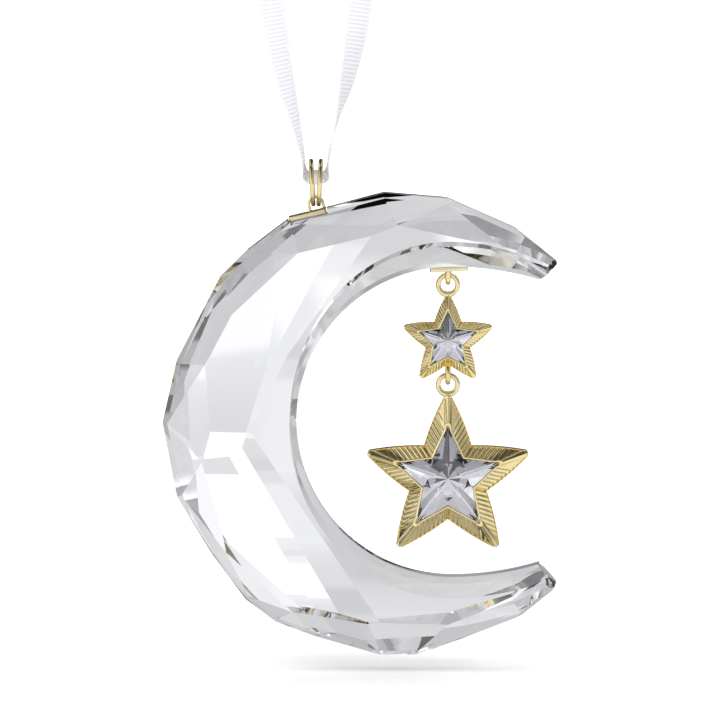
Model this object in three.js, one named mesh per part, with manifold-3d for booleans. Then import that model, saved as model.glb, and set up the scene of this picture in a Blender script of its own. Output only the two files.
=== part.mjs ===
// Moon ornament: a cut crystal crescent with two linked stars, on a ribbon loop
// Millimetres. +X to the viewer's right, +Y away from the viewer, +Z up.
// The origin is the hanging point, at the top of the opening of the ribbon loop.
import * as THREE from 'three';
import { mergeVertices } from 'three/addons/utils/BufferGeometryUtils.js';
import Module from 'manifold-3d';

const wasm = await Module();
wasm.setup();

// Ribbon: a flat woven band, from the knot down through both rings and back
const RIBBON_WIDTH = 4.0;
const RIBBON_THICKNESS = 0.4;
const RIBBON_IN_RINGS = 0.9; // height of the band above the centre of the rings
const RIBBON_CANT = 33; // degrees, near edge low, where it lies in the rings
// Left half of its centre line, from the knot down: x, y, z, and the turn in
// degrees of its width from along Y (0) to across the view (90)
const RIBBON_HALF = [
  [-0.3, 0.36, 7.2, 90],
  [-2.2, 0.32, 0.0, 90],
  [-6.3, 0.15, -11.0, 90],
  [-8.3, 0.0, -23.0, 90],
  [-7.5, 0.0, -34.6, 80],
  [-5.2, 0.0, -48.0, 42],
  [-3.6, 0.0, -54.4, 16],
  [-2.35, 0.0, -60.0, 3],
];
const RIBBON_BEND = 1.6; // half the level run of the band inside the rings

// Knot and cut ends above it
const KNOT_WIDTH = 6.4;
const KNOT_DEPTH = 3.4;
const KNOT_HEIGHT = 4.6;
const KNOT_BOTTOM = 7.5;
const KNOT_FLAT = 0.5; // taken off its top and bottom
const TAIL_LENGTH = 12.0;
const TAIL_SPREAD = 20; // degrees from upright
const TAIL_APART = 1.1; // where each cut end starts, to its side of the middle
const TAIL_STEP = 0.35; // and in front of or behind it
const TAIL_CURL = 1.2; // how far its end curls away
const CORD_GAP = 0.3;

// Two closed rings that join the ribbon to the moon
const RING_TOP = -61.2;
const RING_OUTER = 8.0;
const RING_WIRE = 0.8;
const RING_PAIR_GAP = 0.1;
const RING_LEAN = 3; // degrees, the tops apart
const LINK_GAP = 0.35; // free play between linked wires
const EYE_PLAY = 0.1; // round the pair of wires in the upper eye

// Crescent: corners of the outline about its centre, x and z
const MOON_OFFSET_X = 12.83; // from the swing axis to the centre of the outline
const MOON_THICKNESS = 15.0;
const GIRDLE_WIDTH = 4.0; // flat band round the rim
const RIM_STEP_WIDTH = 0.8; // steep narrow facets next to the band
const RIM_STEP_DEPTH = 1.2;
const OUTLINE = [
  [27.3, 26.6], [27.1, 28.0], [22.3, 31.9], [9.2, 37.7], [-1.5, 38.6], [-10.9, 36.1],
  [-17.4, 34.2], [-24.1, 29.1], [-28.8, 24.5], [-36.1, 10.4], [-38.4, 0.3], [-36.0, -12.1],
  [-30.2, -21.7], [-24.6, -29.3], [-19.5, -33.1], [-12.8, -35.6], [-2.2, -38.6],
  [4.5, -38.6], [11.3, -36.0], [21.6, -32.1], [26.8, -27.9], [27.3, -26.3],
];
const FRONT_TABLE = [
  [24.4, 28.0], [13.0, 31.0], [0.8, 33.6], [-15.8, 28.9], [-26.8, 18.6], [-31.3, 10.2],
  [-31.8, -6.0], [-27.8, -21.1], [-16.7, -31.1], [-4.2, -32.9], [10.2, -33.0], [24.3, -27.4],
];
const BACK_TABLE = [
  [24.6, 28.6], [17.4, 31.0], [7.2, 34.8], [-4.5, 32.4], [-12.8, 31.4], [-22.6, 23.4],
  [-28.2, 17.6], [-32.6, 6.4], [-32.0, -3.4], [-30.6, -14.6], [-24.2, -24.4],
  [-18.8, -30.2], [-9.6, -31.6], [0.8, -34.6], [9.4, -32.0], [18.0, -31.2], [24.4, -27.6],
];
// Large flats: each falls away from the level middle across an edge, given by the
// x and z of its two ends, by so many degrees
const FRONT_FLATS = [
  [[-5.5, 29.1], [-17.5, 12.05], 8.0],
  [[-17.5, 12.05], [-23.5, -0.67], 7.2],
  [[-26.8, 17.9], [-29.8, 0.2], 12.0],
  [[-29.8, 0.2], [-26.3, -8.2], 9.0],
  [[-23.0, -1.84], [-4.0, -29.95], 8.0],
  [[-21.0, -13.2], [-4.6, -33.5], 12.0],
];
const BACK_FLATS = [
  [[-10.0, 28.0], [-20.5, 9.0], 5.0],
  [[-20.5, 9.0], [-24.6, -4.0], 11.0],
  [[-24.6, -4.0], [-15.0, -20.5], 7.0],
  [[-28.0, 0.0], [-12.0, -28.0], 11.0],
];

// Inner wall: round at the left, running out in two flatter arcs to the horns
const BOW_X = 9.83;
const BOW_Z = 0.38;
const BOW_RADIUS = 25.93;
const HORN_RADIUS = 50.0;
const HORN_RUN_OUT = 5.0; // how far the arcs run on past the horns
const WALL_BAND = 4.4; // width of the flat band in the middle of the wall
const WALL_STEP = 0.9; // first bevel, measured away from the opening
const WALL_STEP_AT = 4.5; // its distance from the middle plane
const BEVEL_LEFT = 1.1; // second bevel at the front and back faces
const BEVEL_TOP = 3.85;
const BEVEL_BOTTOM = 3.0;
const BEVEL_UPPER_TIP = 3.1;
const BEVEL_LOWER_TIP = 2.35;
// The cut across the corner of each horn: where it starts along X, how deep it
// starts in the wall, how far it runs and how much it rises
const UPPER_TIP_CUT = { side: 1, start: 24.4, depth: 0.0, run: 3.1, rise: 2.8 };
const LOWER_TIP_CUT = { side: -1, start: 24.4, depth: 0.45, run: 3.1, rise: 2.9 };

// Plates bonded to the glass
const PLATE_LENGTH = 6.4;
const PLATE_DEPTH = 4.0;
const PLATE_THICKNESS = 0.8;
const BOND_GAP = 0.1;
const SEAT_MARGIN = 0.15;
const TOP_PLATE_X = -1.47; // from the swing axis
const TOP_PLATE_TILT = 13.5;
const PLATE_PROUD = 0.16; // how far the middle of its top stands above the rim
const TOP_EYE_WIRE = 0.5;
const HORN_PLATE_X = 9.29; // from the centre of the outline
const HORN_PLATE_TILT = 2.9;
const HORN_SEAT_CUT = 0.05; // depth of the ground flat above the top of the bow
const SOLDER_GAP = 0.05;

// Stars, both of one pattern
const STAR_X = 9.15; // line on which they hang, from the centre of the outline
const STAR_LOOP_RADIUS = 1.62; // mean radius of the loop cast on each upper tip
const LOOP_WIRE = 0.82;
const EYE_WIRE = 0.9;
const HORN_EYE_RADIUS = 1.1;
const HORN_EYE_LEG = 0.75;
const STAR_EYE_RADIUS = 1.43;
const STAR_EYE_SINK = 0.2;
const CRYSTAL_GAP = 0.08;
const SMALL_STAR = {
  outer: 7.7, notch: 3.87, tipRound: 0.5, back: 0.6, edge: 0.5, rim: 1.5,
  crystalOuter: 4.83, crystalNotch: 2.45, bezel: 0.3, pocket: 0.25, foil: 0.12, crown: 0.55,
};
const LARGE_STAR = {
  outer: 14.07, notch: 6.78, tipRound: 0.7, back: 0.8, edge: 0.7, rim: 2.3,
  crystalOuter: 8.8, crystalNotch: 4.25, bezel: 0.4, pocket: 0.35, foil: 0.15, crown: 0.8,
};

// Materials
const finish = (color, roughness, metalness) =>
  new THREE.MeshStandardMaterial({ color, roughness, metalness });
const glass = finish(0xe8eaf1, 0.05, 0.0);
const gold = finish(0xd9bc80, 0.22, 1.0);
const paleGold = finish(0xdfc48c, 0.35, 1.0);
const starGlass = finish(0xc9cedd, 0.08, 0.1);
const foilSilver = finish(0xb9bdc8, 0.15, 1.0);
const weave = finish(0xf2f0f4, 0.9, 0.0);
const degrees = THREE.MathUtils.degToRad;

// Solids: closed bodies with their faces pointing out
function closedBody(positions, triangles) {
  const geometry = new THREE.BufferGeometry();
  geometry.setAttribute('position', new THREE.Float32BufferAttribute(positions, 3));
  let volume = 0;
  const [a, b, c] = [new THREE.Vector3(), new THREE.Vector3(), new THREE.Vector3()];
  for (let i = 0; i < triangles.length; i += 3) {
    a.fromArray(positions, triangles[i] * 3);
    b.fromArray(positions, triangles[i + 1] * 3);
    c.fromArray(positions, triangles[i + 2] * 3);
    volume += a.dot(b.cross(c));
  }
  geometry.setIndex(volume > 0 ? triangles : triangles.slice().reverse());
  return geometry;
}

// Triangles over a closed outline, wound the way the outline runs
function capTriangles(flat) {
  return THREE.ShapeUtils.triangulateShape(flat, []).map(([i, j, k]) => {
    const ordered = (i < j && j < k) || (j < k && k < i) || (k < i && i < j);
    return ordered ? [i, j, k] : [i, k, j];
  });
}

// A body through a row of like sections, closed at both ends
function joinSections(sections, flat) {
  const count = flat.length;
  const positions = sections.flatMap((section) => section.flatMap((p) => [p.x, p.y, p.z]));
  const triangles = [];
  for (let s = 0; s < sections.length - 1; s += 1) {
    for (let i = 0; i < count; i += 1) {
      const j = (i + 1) % count;
      const [p, q] = [s * count, (s + 1) * count];
      triangles.push(p + i, p + j, q + j, p + i, q + j, q + i);
    }
  }
  const last = (sections.length - 1) * count;
  for (const [i, j, k] of capTriangles(flat)) {
    triangles.push(i, k, j, last + i, last + j, last + k);
  }
  return closedBody(positions, triangles);
}

// Sections drawn in x and z at their own depths, with like outlines at both ends
const atDepth = (y) => ([x, z]) => new THREE.Vector3(x, y, z);

function loft(sections) {
  return joinSections(sections, sections[0].map((p) => new THREE.Vector2(p.x, p.z)));
}

// A bar of one section carried along a row of frames, each with its own axes
function bar(frames, section) {
  const sections = frames.map(({ at, u, v }) =>
    section.map(([a, b]) => at.clone().addScaledVector(u, a).addScaledVector(v, b)));
  return joinSections(sections, section.map(([a, b]) => new THREE.Vector2(a, b)));
}

function roundSection(radius, sides = 10) {
  return Array.from({ length: sides }, (_, i) => {
    const turn = (2 * Math.PI * (i + 0.5)) / sides;
    return [radius * Math.cos(turn), radius * Math.sin(turn)];
  });
}

function toSolid(geometry) {
  const bare = geometry.clone();
  bare.deleteAttribute('normal');
  bare.deleteAttribute('uv');
  const merged = mergeVertices(bare, 1e-4);
  return new wasm.Manifold(new wasm.Mesh({
    numProp: 3,
    vertProperties: new Float32Array(merged.attributes.position.array),
    triVerts: new Uint32Array(merged.index.array),
  }));
}

function toGeometry(solid) {
  const mesh = solid.getMesh();
  const geometry = new THREE.BufferGeometry();
  geometry.setAttribute('position', new THREE.BufferAttribute(mesh.vertProperties, 3));
  geometry.setIndex(new THREE.BufferAttribute(mesh.triVerts, 1));
  return geometry;
}

function piece(name, geometry, material) {
  const mesh = new THREE.Mesh(geometry, material);
  mesh.name = name;
  return mesh;
}

function placed(geometry, x, y, z, turnY = 0) {
  return geometry.rotateY(turnY).translate(x, y, z);
}

// Places worked out once from the sizes above
const ringMean = (RING_OUTER - RING_WIRE) / 2;
const ringCentreZ = RING_TOP - RING_OUTER / 2;
const swingZ = ringCentreZ - ringMean; // axis of the moon: the lower wires of the rings
const topEyeHole = RING_WIRE + RING_PAIR_GAP / 2 + EYE_PLAY;
const topEyeMean = topEyeHole + TOP_EYE_WIRE / 2;
const topPlateTilt = degrees(TOP_PLATE_TILT);
const topEyeHeight = topEyeHole; // hole centre above the top of the plate
const linkDrop = (LOOP_WIRE + EYE_WIRE) / 2 + LINK_GAP;
const hornSeatZ = BOW_Z + BOW_RADIUS + HORN_SEAT_CUT;
const hornPlateBottom = hornSeatZ - BOND_GAP - PLATE_THICKNESS;
const hornEyeZ = hornPlateBottom - SOLDER_GAP - HORN_EYE_LEG - HORN_EYE_RADIUS;

// Height of the rim's upper line above the centre of the outline
function rimHeight(x) {
  const k = OUTLINE.findIndex(([corner], i) => corner >= x && OUTLINE[i + 1][0] < x);
  const [[x1, z1], [x2, z2]] = [OUTLINE[k], OUTLINE[k + 1]];
  return z1 + ((z2 - z1) * (x - x1)) / (x2 - x1);
}

// Centre of the upper plate's top, from the swing axis. The hole of its eye
// stands on the axis, square above the plate.
const plateAt = (() => {
  const [sin, cos] = [Math.sin(topPlateTilt), Math.cos(topPlateTilt)];
  const along = (TOP_PLATE_X - topEyeHeight * sin) / cos;
  return { x: TOP_PLATE_X, z: along * sin - topEyeHeight * cos, along };
})();
const moonOffsetZ = plateAt.z - PLATE_PROUD - rimHeight(plateAt.x - MOON_OFFSET_X);

// The ribbon
function ribbonFrames() {
  const cant = degrees(RIBBON_CANT);
  const inRings = ringCentreZ + RIBBON_IN_RINGS;
  const half = RIBBON_HALF.concat([
    [-RIBBON_BEND, 0, inRings + 0.45, 0],
    [-RIBBON_BEND / 2, 0, inRings + 0.08, 0],
  ]);
  const mirrored = half.map(([x, y, z, turn]) => [-x, -y, z, -turn]).reverse();
  const rows = [...half, [0, 0, inRings, 0], ...mirrored];
  const line = new THREE.CatmullRomCurve3(rows.map(([x, y, z]) => new THREE.Vector3(x, y, z)));
  const turns = new THREE.CatmullRomCurve3(rows.map((row) => new THREE.Vector3(row[3], 0, 0)));
  const steps = 76;
  return Array.from({ length: steps + 1 }, (_, i) => {
    const t = i / steps;
    const tangent = line.getTangent(t);
    const turn = degrees(turns.getPoint(t).x);
    const lean = cant * Math.cos(turn);
    const near = new THREE.Vector3(0, -Math.cos(lean), -Math.sin(lean));
    near.addScaledVector(tangent, -near.dot(tangent)).normalize();
    const u = near.applyAxisAngle(tangent, turn);
    const v = new THREE.Vector3().crossVectors(tangent, u);
    return { at: line.getPoint(t), u, v };
  });
}

function flatSection(width, thickness) {
  const [w, t, round] = [width / 2, thickness / 2, thickness / 4];
  return [
    [w - round, -t], [w, -t + round], [w, t - round], [w - round, t],
    [-w + round, t], [-w, t - round], [-w, -t + round], [-w + round, -t],
  ];
}

function ribbon() {
  return bar(ribbonFrames(), flatSection(RIBBON_WIDTH, RIBBON_THICKNESS));
}

function knot() {
  const ball = new THREE.SphereGeometry(1, 20, 14);
  ball.scale(KNOT_WIDTH / 2, KNOT_DEPTH / 2, KNOT_HEIGHT / 2);
  ball.translate(0, 0, KNOT_BOTTOM + KNOT_HEIGHT / 2);
  const corners = ball.attributes.position;
  const [low, high] = [KNOT_BOTTOM + KNOT_FLAT, KNOT_BOTTOM + KNOT_HEIGHT - KNOT_FLAT];
  for (let i = 0; i < corners.count; i += 1) {
    corners.setZ(i, THREE.MathUtils.clamp(corners.getZ(i), low, high));
  }
  return ball;
}

function tail(side) {
  const lean = degrees(TAIL_SPREAD) * side;
  const knotTop = KNOT_BOTTOM + KNOT_HEIGHT - KNOT_FLAT;
  const start = new THREE.Vector3(side * TAIL_APART, side * TAIL_STEP, knotTop + CORD_GAP);
  const along = new THREE.Vector3(Math.sin(lean), 0, Math.cos(lean));
  const u = new THREE.Vector3(Math.cos(lean), 0, -Math.sin(lean));
  const steps = 6;
  const frames = Array.from({ length: steps + 1 }, (_, i) => {
    const t = i / steps;
    const at = start.clone().addScaledVector(along, TAIL_LENGTH * t);
    at.y += side * TAIL_CURL * t * t;
    const v = new THREE.Vector3(0, 1, 0);
    return { at, u, v };
  });
  frames[0] = { at: start, u: new THREE.Vector3(1, 0, 0), v: new THREE.Vector3(0, 1, 0) };
  return bar(frames, flatSection(RIBBON_WIDTH * 0.9, RIBBON_THICKNESS));
}

// The pair of rings
function hangingRing(side) {
  const wire = new THREE.TorusGeometry(ringMean, RING_WIRE / 2, 10, 40);
  wire.rotateY(Math.PI / 2);
  wire.translate(0, 0, ringMean);
  wire.rotateY(side * degrees(RING_LEAN));
  return wire.translate(side * (RING_WIRE + RING_PAIR_GAP) / 2, 0, -ringMean);
}

// The crescent
function bowPoint(step, offsets) {
  const right = OUTLINE[0][0] + HORN_RUN_OUT - BOW_X;
  const hornCentre = BOW_RADIUS - HORN_RADIUS;
  const reach = Math.asin(right / HORN_RADIUS);
  const [side, turn] = step;
  if (side === 0) {
    const rise = Math.sin(turn);
    const [from, full] = [offsets.left, rise > 0 ? offsets.top : offsets.bottom];
    const radius = BOW_RADIUS + from + (full - from) * rise * rise;
    return [BOW_X + radius * Math.cos(turn), BOW_Z + radius * rise];
  }
  const [from, tip] = side > 0
    ? [offsets.top, offsets.upperTip]
    : [offsets.bottom, offsets.lowerTip];
  const radius = HORN_RADIUS + from + (tip - from) * turn;
  const swing = turn * reach;
  return [BOW_X + radius * Math.sin(swing), BOW_Z + side * (hornCentre + radius * Math.cos(swing))];
}

function bowSection(y, offsets) {
  const hornSteps = 8;
  const bowSteps = 52;
  const steps = [];
  for (let i = hornSteps; i > 0; i -= 1) steps.push([1, i / hornSteps]);
  for (let i = 0; i <= bowSteps; i += 1) steps.push([0, Math.PI / 2 + (Math.PI * i) / bowSteps]);
  for (let i = 1; i <= hornSteps; i += 1) steps.push([-1, i / hornSteps]);
  return steps.map((step) => atDepth(y)(bowPoint(step, offsets)));
}

function evenOffset(amount) {
  return { left: amount, top: amount, bottom: amount, upperTip: amount, lowerTip: amount };
}

function openingCutter() {
  const face = MOON_THICKNESS / 2;
  const past = 1.0;
  const carryOn = past / (face - WALL_STEP_AT);
  const reach = (bevel) => bevel + (bevel - WALL_STEP) * carryOn;
  const outside = {
    left: reach(BEVEL_LEFT),
    top: reach(BEVEL_TOP),
    bottom: reach(BEVEL_BOTTOM),
    upperTip: reach(BEVEL_UPPER_TIP),
    lowerTip: reach(BEVEL_LOWER_TIP),
  };
  const levels = [
    [-face - past, outside], [-WALL_STEP_AT, evenOffset(WALL_STEP)], [-WALL_BAND / 2, evenOffset(0)],
    [WALL_BAND / 2, evenOffset(0)], [WALL_STEP_AT, evenOffset(WALL_STEP)], [face + past, outside],
  ];
  return loft(levels.map(([y, offsets]) => bowSection(y, offsets)));
}

// The level middle of a face and its falling flats, each as three points of it
function largeFlats(flats) {
  const face = MOON_THICKNESS / 2;
  const point = (x, y, z) => new THREE.Vector3(x, y, z);
  const panels = [[point(0, face, 0), point(1, face, 0), point(0, face, 1)]];
  for (const [[x1, z1], [x2, z2], fall] of flats) {
    const run = Math.hypot(x2 - x1, z2 - z1);
    const [outX, outZ] = [(z2 - z1) / run, -(x2 - x1) / run];
    const depth = face - 10 * Math.tan(degrees(fall));
    const low = point(x1 + 10 * outX, depth, z1 + 10 * outZ);
    panels.push([point(x1, face, z1), point(x2, face, z2), low]);
  }
  return panels;
}

// How far a face stands from the middle plane
function faceDepth(panels, x, z) {
  const depths = panels.map(([a, b, c]) => {
    const normal = b.clone().sub(a).cross(c.clone().sub(a));
    return a.y - (normal.x * (x - a.x) + normal.z * (z - a.z)) / normal.y;
  });
  return Math.min(...depths);
}

// The plane through three points, facing out of the block
function facet(a, b, c) {
  const normal = b.clone().sub(a).cross(c.clone().sub(a)).normalize();
  if (normal.dot(a) < 0) normal.negate();
  return { at: a, normal };
}

// The facet through an edge and one candidate that leaves every corner behind it
function restingFacet(a, b, candidates, corners) {
  const proud = ({ at, normal }) => Math.max(...corners.map((c) => c.clone().sub(at).dot(normal)));
  const facets = candidates.map((c) => facet(a, b, c));
  return facets.reduce((best, next) => (proud(next) < proud(best) ? next : best));
}

function sideFacets(side, tableCorners, flats) {
  const panels = largeFlats(flats);
  const band = (side * GIRDLE_WIDTH) / 2;
  const step = band + side * RIM_STEP_DEPTH;
  const inward = ([x, z]) => 1 - RIM_STEP_WIDTH / Math.hypot(x, z);
  const rim = OUTLINE.map(([x, z]) => new THREE.Vector3(x, band, z));
  const inner = OUTLINE.map((corner) => {
    const shrink = inward(corner);
    return new THREE.Vector3(corner[0] * shrink, step, corner[1] * shrink);
  });
  const table = tableCorners.map(
    ([x, z]) => new THREE.Vector3(x, side * faceDepth(panels, x, z), z),
  );
  const corners = [...inner, ...table];
  const toSide = (p) => new THREE.Vector3(p.x, side * p.y, p.z);
  const facets = panels.map((points) => facet(...points.map(toSide)));
  rim.forEach((corner, i) => {
    const n = (i + 1) % rim.length;
    const below = corner.clone().sub(new THREE.Vector3(0, 1, 0));
    if (side > 0) facets.push(facet(corner, rim[n], below));
    facets.push(facet(corner, rim[n], inner[i].clone().add(inner[n]).multiplyScalar(0.5)));
    facets.push(restingFacet(inner[i], inner[n], table, corners));
  });
  table.forEach((corner, i) => {
    facets.push(restingFacet(corner, table[(i + 1) % table.length], inner, corners));
  });
  return facets;
}

// The block with every facet ground flat, one cut for each
function crystalBlank() {
  const facets = [
    ...sideFacets(-1, FRONT_TABLE, FRONT_FLATS),
    ...sideFacets(1, BACK_TABLE, BACK_FLATS),
  ];
  const same = (p, q) => p.normal.dot(q.normal) > 1 - 1e-9
    && Math.abs(p.at.clone().sub(q.at).dot(q.normal)) < 1e-5;
  const kept = facets.filter((p, i) => !facets.slice(0, i).some((q) => same(p, q)));
  let block = toSolid(new THREE.BoxGeometry(84, MOON_THICKNESS, 84));
  const up = new THREE.Vector3(0, 0, 1);
  for (const { at, normal } of kept) {
    if (Math.abs(normal.y) > 1 - 1e-9) continue; // the block's own faces
    const wheel = new THREE.BoxGeometry(240, 240, 60).translate(0, 0, 30);
    wheel.applyQuaternion(new THREE.Quaternion().setFromUnitVectors(up, normal));
    block = block.subtract(toSolid(wheel.translate(at.x, at.y, at.z)));
  }
  return block;
}

// Height of the inner wall above the middle of the opening, along a horn
function hornWallRise(x) {
  const fromBow = x - BOW_X;
  return BOW_RADIUS - HORN_RADIUS + Math.sqrt(HORN_RADIUS ** 2 - fromBow ** 2);
}

// A wedge from the opening that takes off the sharp corner of a horn
function tipTrimmer({ side, start, depth, run, rise }) {
  const wall = hornWallRise(start) + depth;
  const [end, past] = [start + run, start + 2 * run];
  const rises = [[start, wall], [end, wall + rise], [past, wall + rise], [past, 0], [start, 0]];
  const corners = rises.map(([x, up]) => [x, BOW_Z + side * up]);
  const reach = MOON_THICKNESS;
  return loft([corners.map(atDepth(-reach)), corners.map(atDepth(reach))]);
}

function topSeat() {
  const height = MOON_THICKNESS / 2;
  const cut = new THREE.BoxGeometry(PLATE_LENGTH + 2 * SEAT_MARGIN, 2 * MOON_THICKNESS, height);
  cut.translate(0, 0, height / 2 - PLATE_THICKNESS - BOND_GAP);
  return placed(cut, plateAt.x - MOON_OFFSET_X, 0, plateAt.z - moonOffsetZ, -topPlateTilt);
}

function hornSeat() {
  const [length, depth] = [PLATE_LENGTH + 2 * SEAT_MARGIN, PLATE_DEPTH + 2 * SEAT_MARGIN];
  const height = MOON_THICKNESS / 2;
  const cut = new THREE.BoxGeometry(length, depth, height);
  cut.translate(0, 0, -height / 2);
  return placed(cut, HORN_PLATE_X, 0, hornSeatZ, -degrees(HORN_PLATE_TILT));
}

function crystalMoon() {
  let solid = crystalBlank();
  const tips = [UPPER_TIP_CUT, LOWER_TIP_CUT].map(tipTrimmer);
  const cutters = [openingCutter(), ...tips, topSeat(), hornSeat()];
  for (const cutter of cutters) solid = solid.subtract(toSolid(cutter));
  return toGeometry(solid);
}

// Plates and their wire eyes
function plate() {
  const block = new THREE.BoxGeometry(PLATE_LENGTH, PLATE_DEPTH, PLATE_THICKNESS);
  return block.translate(0, 0, -PLATE_THICKNESS / 2);
}

// A bent wire: two straight legs joined by half a turn, opening towards -Z
function wireArch(mean, wire, leg) {
  const frames = [];
  const side = new THREE.Vector3(0, 1, 0);
  const put = (x, z, nx, nz) => {
    frames.push({ at: new THREE.Vector3(x, 0, z), u: new THREE.Vector3(nx, 0, nz), v: side });
  };
  put(mean, -leg, 1, 0);
  const steps = 20;
  for (let i = 0; i <= steps; i += 1) {
    const turn = (Math.PI * i) / steps;
    put(mean * Math.cos(turn), mean * Math.sin(turn), Math.cos(turn), Math.sin(turn));
  }
  put(-mean, -leg, -1, 0);
  return bar(frames, roundSection(wire / 2));
}

function topEye() {
  return wireArch(topEyeMean, TOP_EYE_WIRE, topEyeHeight - SOLDER_GAP);
}

function hornEye() {
  const arch = wireArch(HORN_EYE_RADIUS, EYE_WIRE, HORN_EYE_LEG);
  return arch.rotateX(Math.PI).rotateZ(Math.PI / 2);
}

// Stars
function starCorners(outer, notch, round, centreZ) {
  const corners = [];
  for (let arm = 0; arm < 5; arm += 1) {
    const turn = degrees(90 + 72 * arm);
    const [dx, dz] = [Math.cos(turn), Math.sin(turn)];
    const neck = outer - round * 0.75;
    corners.push([neck * dx + round * dz, centreZ + neck * dz - round * dx]);
    corners.push([outer * dx, centreZ + outer * dz]);
    corners.push([neck * dx - round * dz, centreZ + neck * dz + round * dx]);
    const valley = turn + degrees(36);
    corners.push([notch * Math.cos(valley), centreZ + notch * Math.sin(valley)]);
  }
  return corners;
}

function starSetting(star, centreZ, loopZ, withEye) {
  const outline = starCorners(star.outer, star.notch, star.tipRound, centreZ);
  const grow = star.bezel + CRYSTAL_GAP;
  const rim = starCorners(star.crystalOuter + grow * 1.9, star.crystalNotch + grow, 0.12, centreZ);
  const body = loft([
    outline.map(atDepth(star.back)), outline.map(atDepth(-star.edge)), rim.map(atDepth(-star.rim)),
  ]);
  const bore = starCorners(
    star.crystalOuter + CRYSTAL_GAP * 1.9, star.crystalNotch + CRYSTAL_GAP, 0.1, centreZ,
  );
  const pocket = loft([bore.map(atDepth(star.pocket)), bore.map(atDepth(-2 * star.rim))]);
  const loop = new THREE.TorusGeometry(STAR_LOOP_RADIUS, LOOP_WIRE / 2, 10, 32);
  loop.rotateX(Math.PI / 2).translate(0, 0, loopZ);
  let solid = toSolid(body).subtract(toSolid(pocket)).add(toSolid(loop));
  if (withEye) {
    const eye = new THREE.TorusGeometry(STAR_EYE_RADIUS, EYE_WIRE / 2, 10, 28);
    eye.rotateY(Math.PI / 2).translate(0, 0, starEyeZ(star, centreZ));
    solid = solid.add(toSolid(eye));
  }
  return toGeometry(solid);
}

function starEyeZ(star, centreZ) {
  return centreZ - star.notch + STAR_EYE_SINK - EYE_WIRE / 2 - STAR_EYE_RADIUS;
}

function starFoil(star, centreZ) {
  const back = star.pocket - SOLDER_GAP;
  const outline = starCorners(star.crystalOuter, star.crystalNotch, 0.1, centreZ);
  return loft([outline.map(atDepth(back)), outline.map(atDepth(back - star.foil))]);
}

function starCrystal(star, centreZ) {
  const back = star.pocket - star.foil - 2 * SOLDER_GAP;
  const outline = starCorners(star.crystalOuter, star.crystalNotch, 0.1, centreZ);
  const shrink = ([x, z]) => [x * 0.3, centreZ + (z - centreZ) * 0.3];
  const table = outline.map(shrink);
  const top = -star.rim - star.crown;
  const levels = [
    outline.map(atDepth(back)), outline.map(atDepth(-star.rim)), table.map(atDepth(top)),
  ];
  return loft(levels);
}

// Assembly: rings on the ribbon, moon on the rings, stars one below the other
const ornament = new THREE.Group();
ornament.add(piece('ribbon', ribbon(), weave));
ornament.add(piece('ribbon_knot', knot(), weave));
ornament.add(piece('ribbon_tail_left', tail(-1), weave));
ornament.add(piece('ribbon_tail_right', tail(1), weave));

const swing = new THREE.Group();
swing.position.set(0, 0, swingZ);
ornament.add(swing);
const rings = new THREE.Group();
rings.position.set(0, 0, ringMean);
rings.add(piece('hanging_ring_left', hangingRing(-1), gold));
rings.add(piece('hanging_ring_right', hangingRing(1), gold));
swing.add(rings);

const plateAssembly = new THREE.Group();
plateAssembly.position.set(plateAt.x, 0, plateAt.z);
plateAssembly.rotation.y = -topPlateTilt;
plateAssembly.add(piece('top_plate', plate(), paleGold));
const eyeOnPlate = piece('top_eye', topEye(), gold);
eyeOnPlate.position.set(-plateAt.along, 0, topEyeHeight);
plateAssembly.add(eyeOnPlate);
swing.add(plateAssembly);

const moon = new THREE.Group();
moon.position.set(MOON_OFFSET_X, 0, moonOffsetZ);
swing.add(moon);
moon.add(piece('crystal_moon', crystalMoon(), glass));
const hornPlate = piece('horn_plate', plate(), paleGold);
hornPlate.rotation.y = -degrees(HORN_PLATE_TILT);
hornPlate.position.set(HORN_PLATE_X, 0, hornSeatZ - BOND_GAP);
moon.add(hornPlate);
const hornLoop = piece('horn_eye', hornEye(), gold);
hornLoop.position.set(STAR_X, 0, hornPlateBottom - SOLDER_GAP - HORN_EYE_LEG);
moon.add(hornLoop);

// Each star hangs from an eye: positions are measured from the eye's lower wire
const loopFromEye = linkDrop - STAR_LOOP_RADIUS;
const smallStarZ = loopFromEye - STAR_LOOP_RADIUS - SMALL_STAR.outer;
const smallStar = new THREE.Group();
smallStar.position.set(STAR_X, 0, hornEyeZ);
smallStar.add(piece('small_star_setting', starSetting(SMALL_STAR, smallStarZ, loopFromEye, true), gold));
smallStar.add(piece('small_star_foil', starFoil(SMALL_STAR, smallStarZ), foilSilver));
smallStar.add(piece('small_star_crystal', starCrystal(SMALL_STAR, smallStarZ), starGlass));
moon.add(smallStar);

const largeStarZ = loopFromEye - STAR_LOOP_RADIUS - LARGE_STAR.outer;
const largeStar = new THREE.Group();
largeStar.position.set(0, 0, starEyeZ(SMALL_STAR, smallStarZ) - STAR_EYE_RADIUS);
largeStar.add(piece('large_star_setting', starSetting(LARGE_STAR, largeStarZ, loopFromEye, false), gold));
largeStar.add(piece('large_star_foil', starFoil(LARGE_STAR, largeStarZ), foilSilver));
largeStar.add(piece('large_star_crystal', starCrystal(LARGE_STAR, largeStarZ), starGlass));
smallStar.add(largeStar);

export default ornament;
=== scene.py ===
# %% [markdown]
# Moon ornament
#
# This lesson dresses the bare model of a hanging crescent: the cut crystal, the
# gold fittings, two star charms and the ribbon that holds it all. Each new piece
# is modelled in that same space, so it needs no fitting afterwards.

# %% Load the frame
import math

import bpy
from mathutils import Euler, Matrix, Vector


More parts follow.
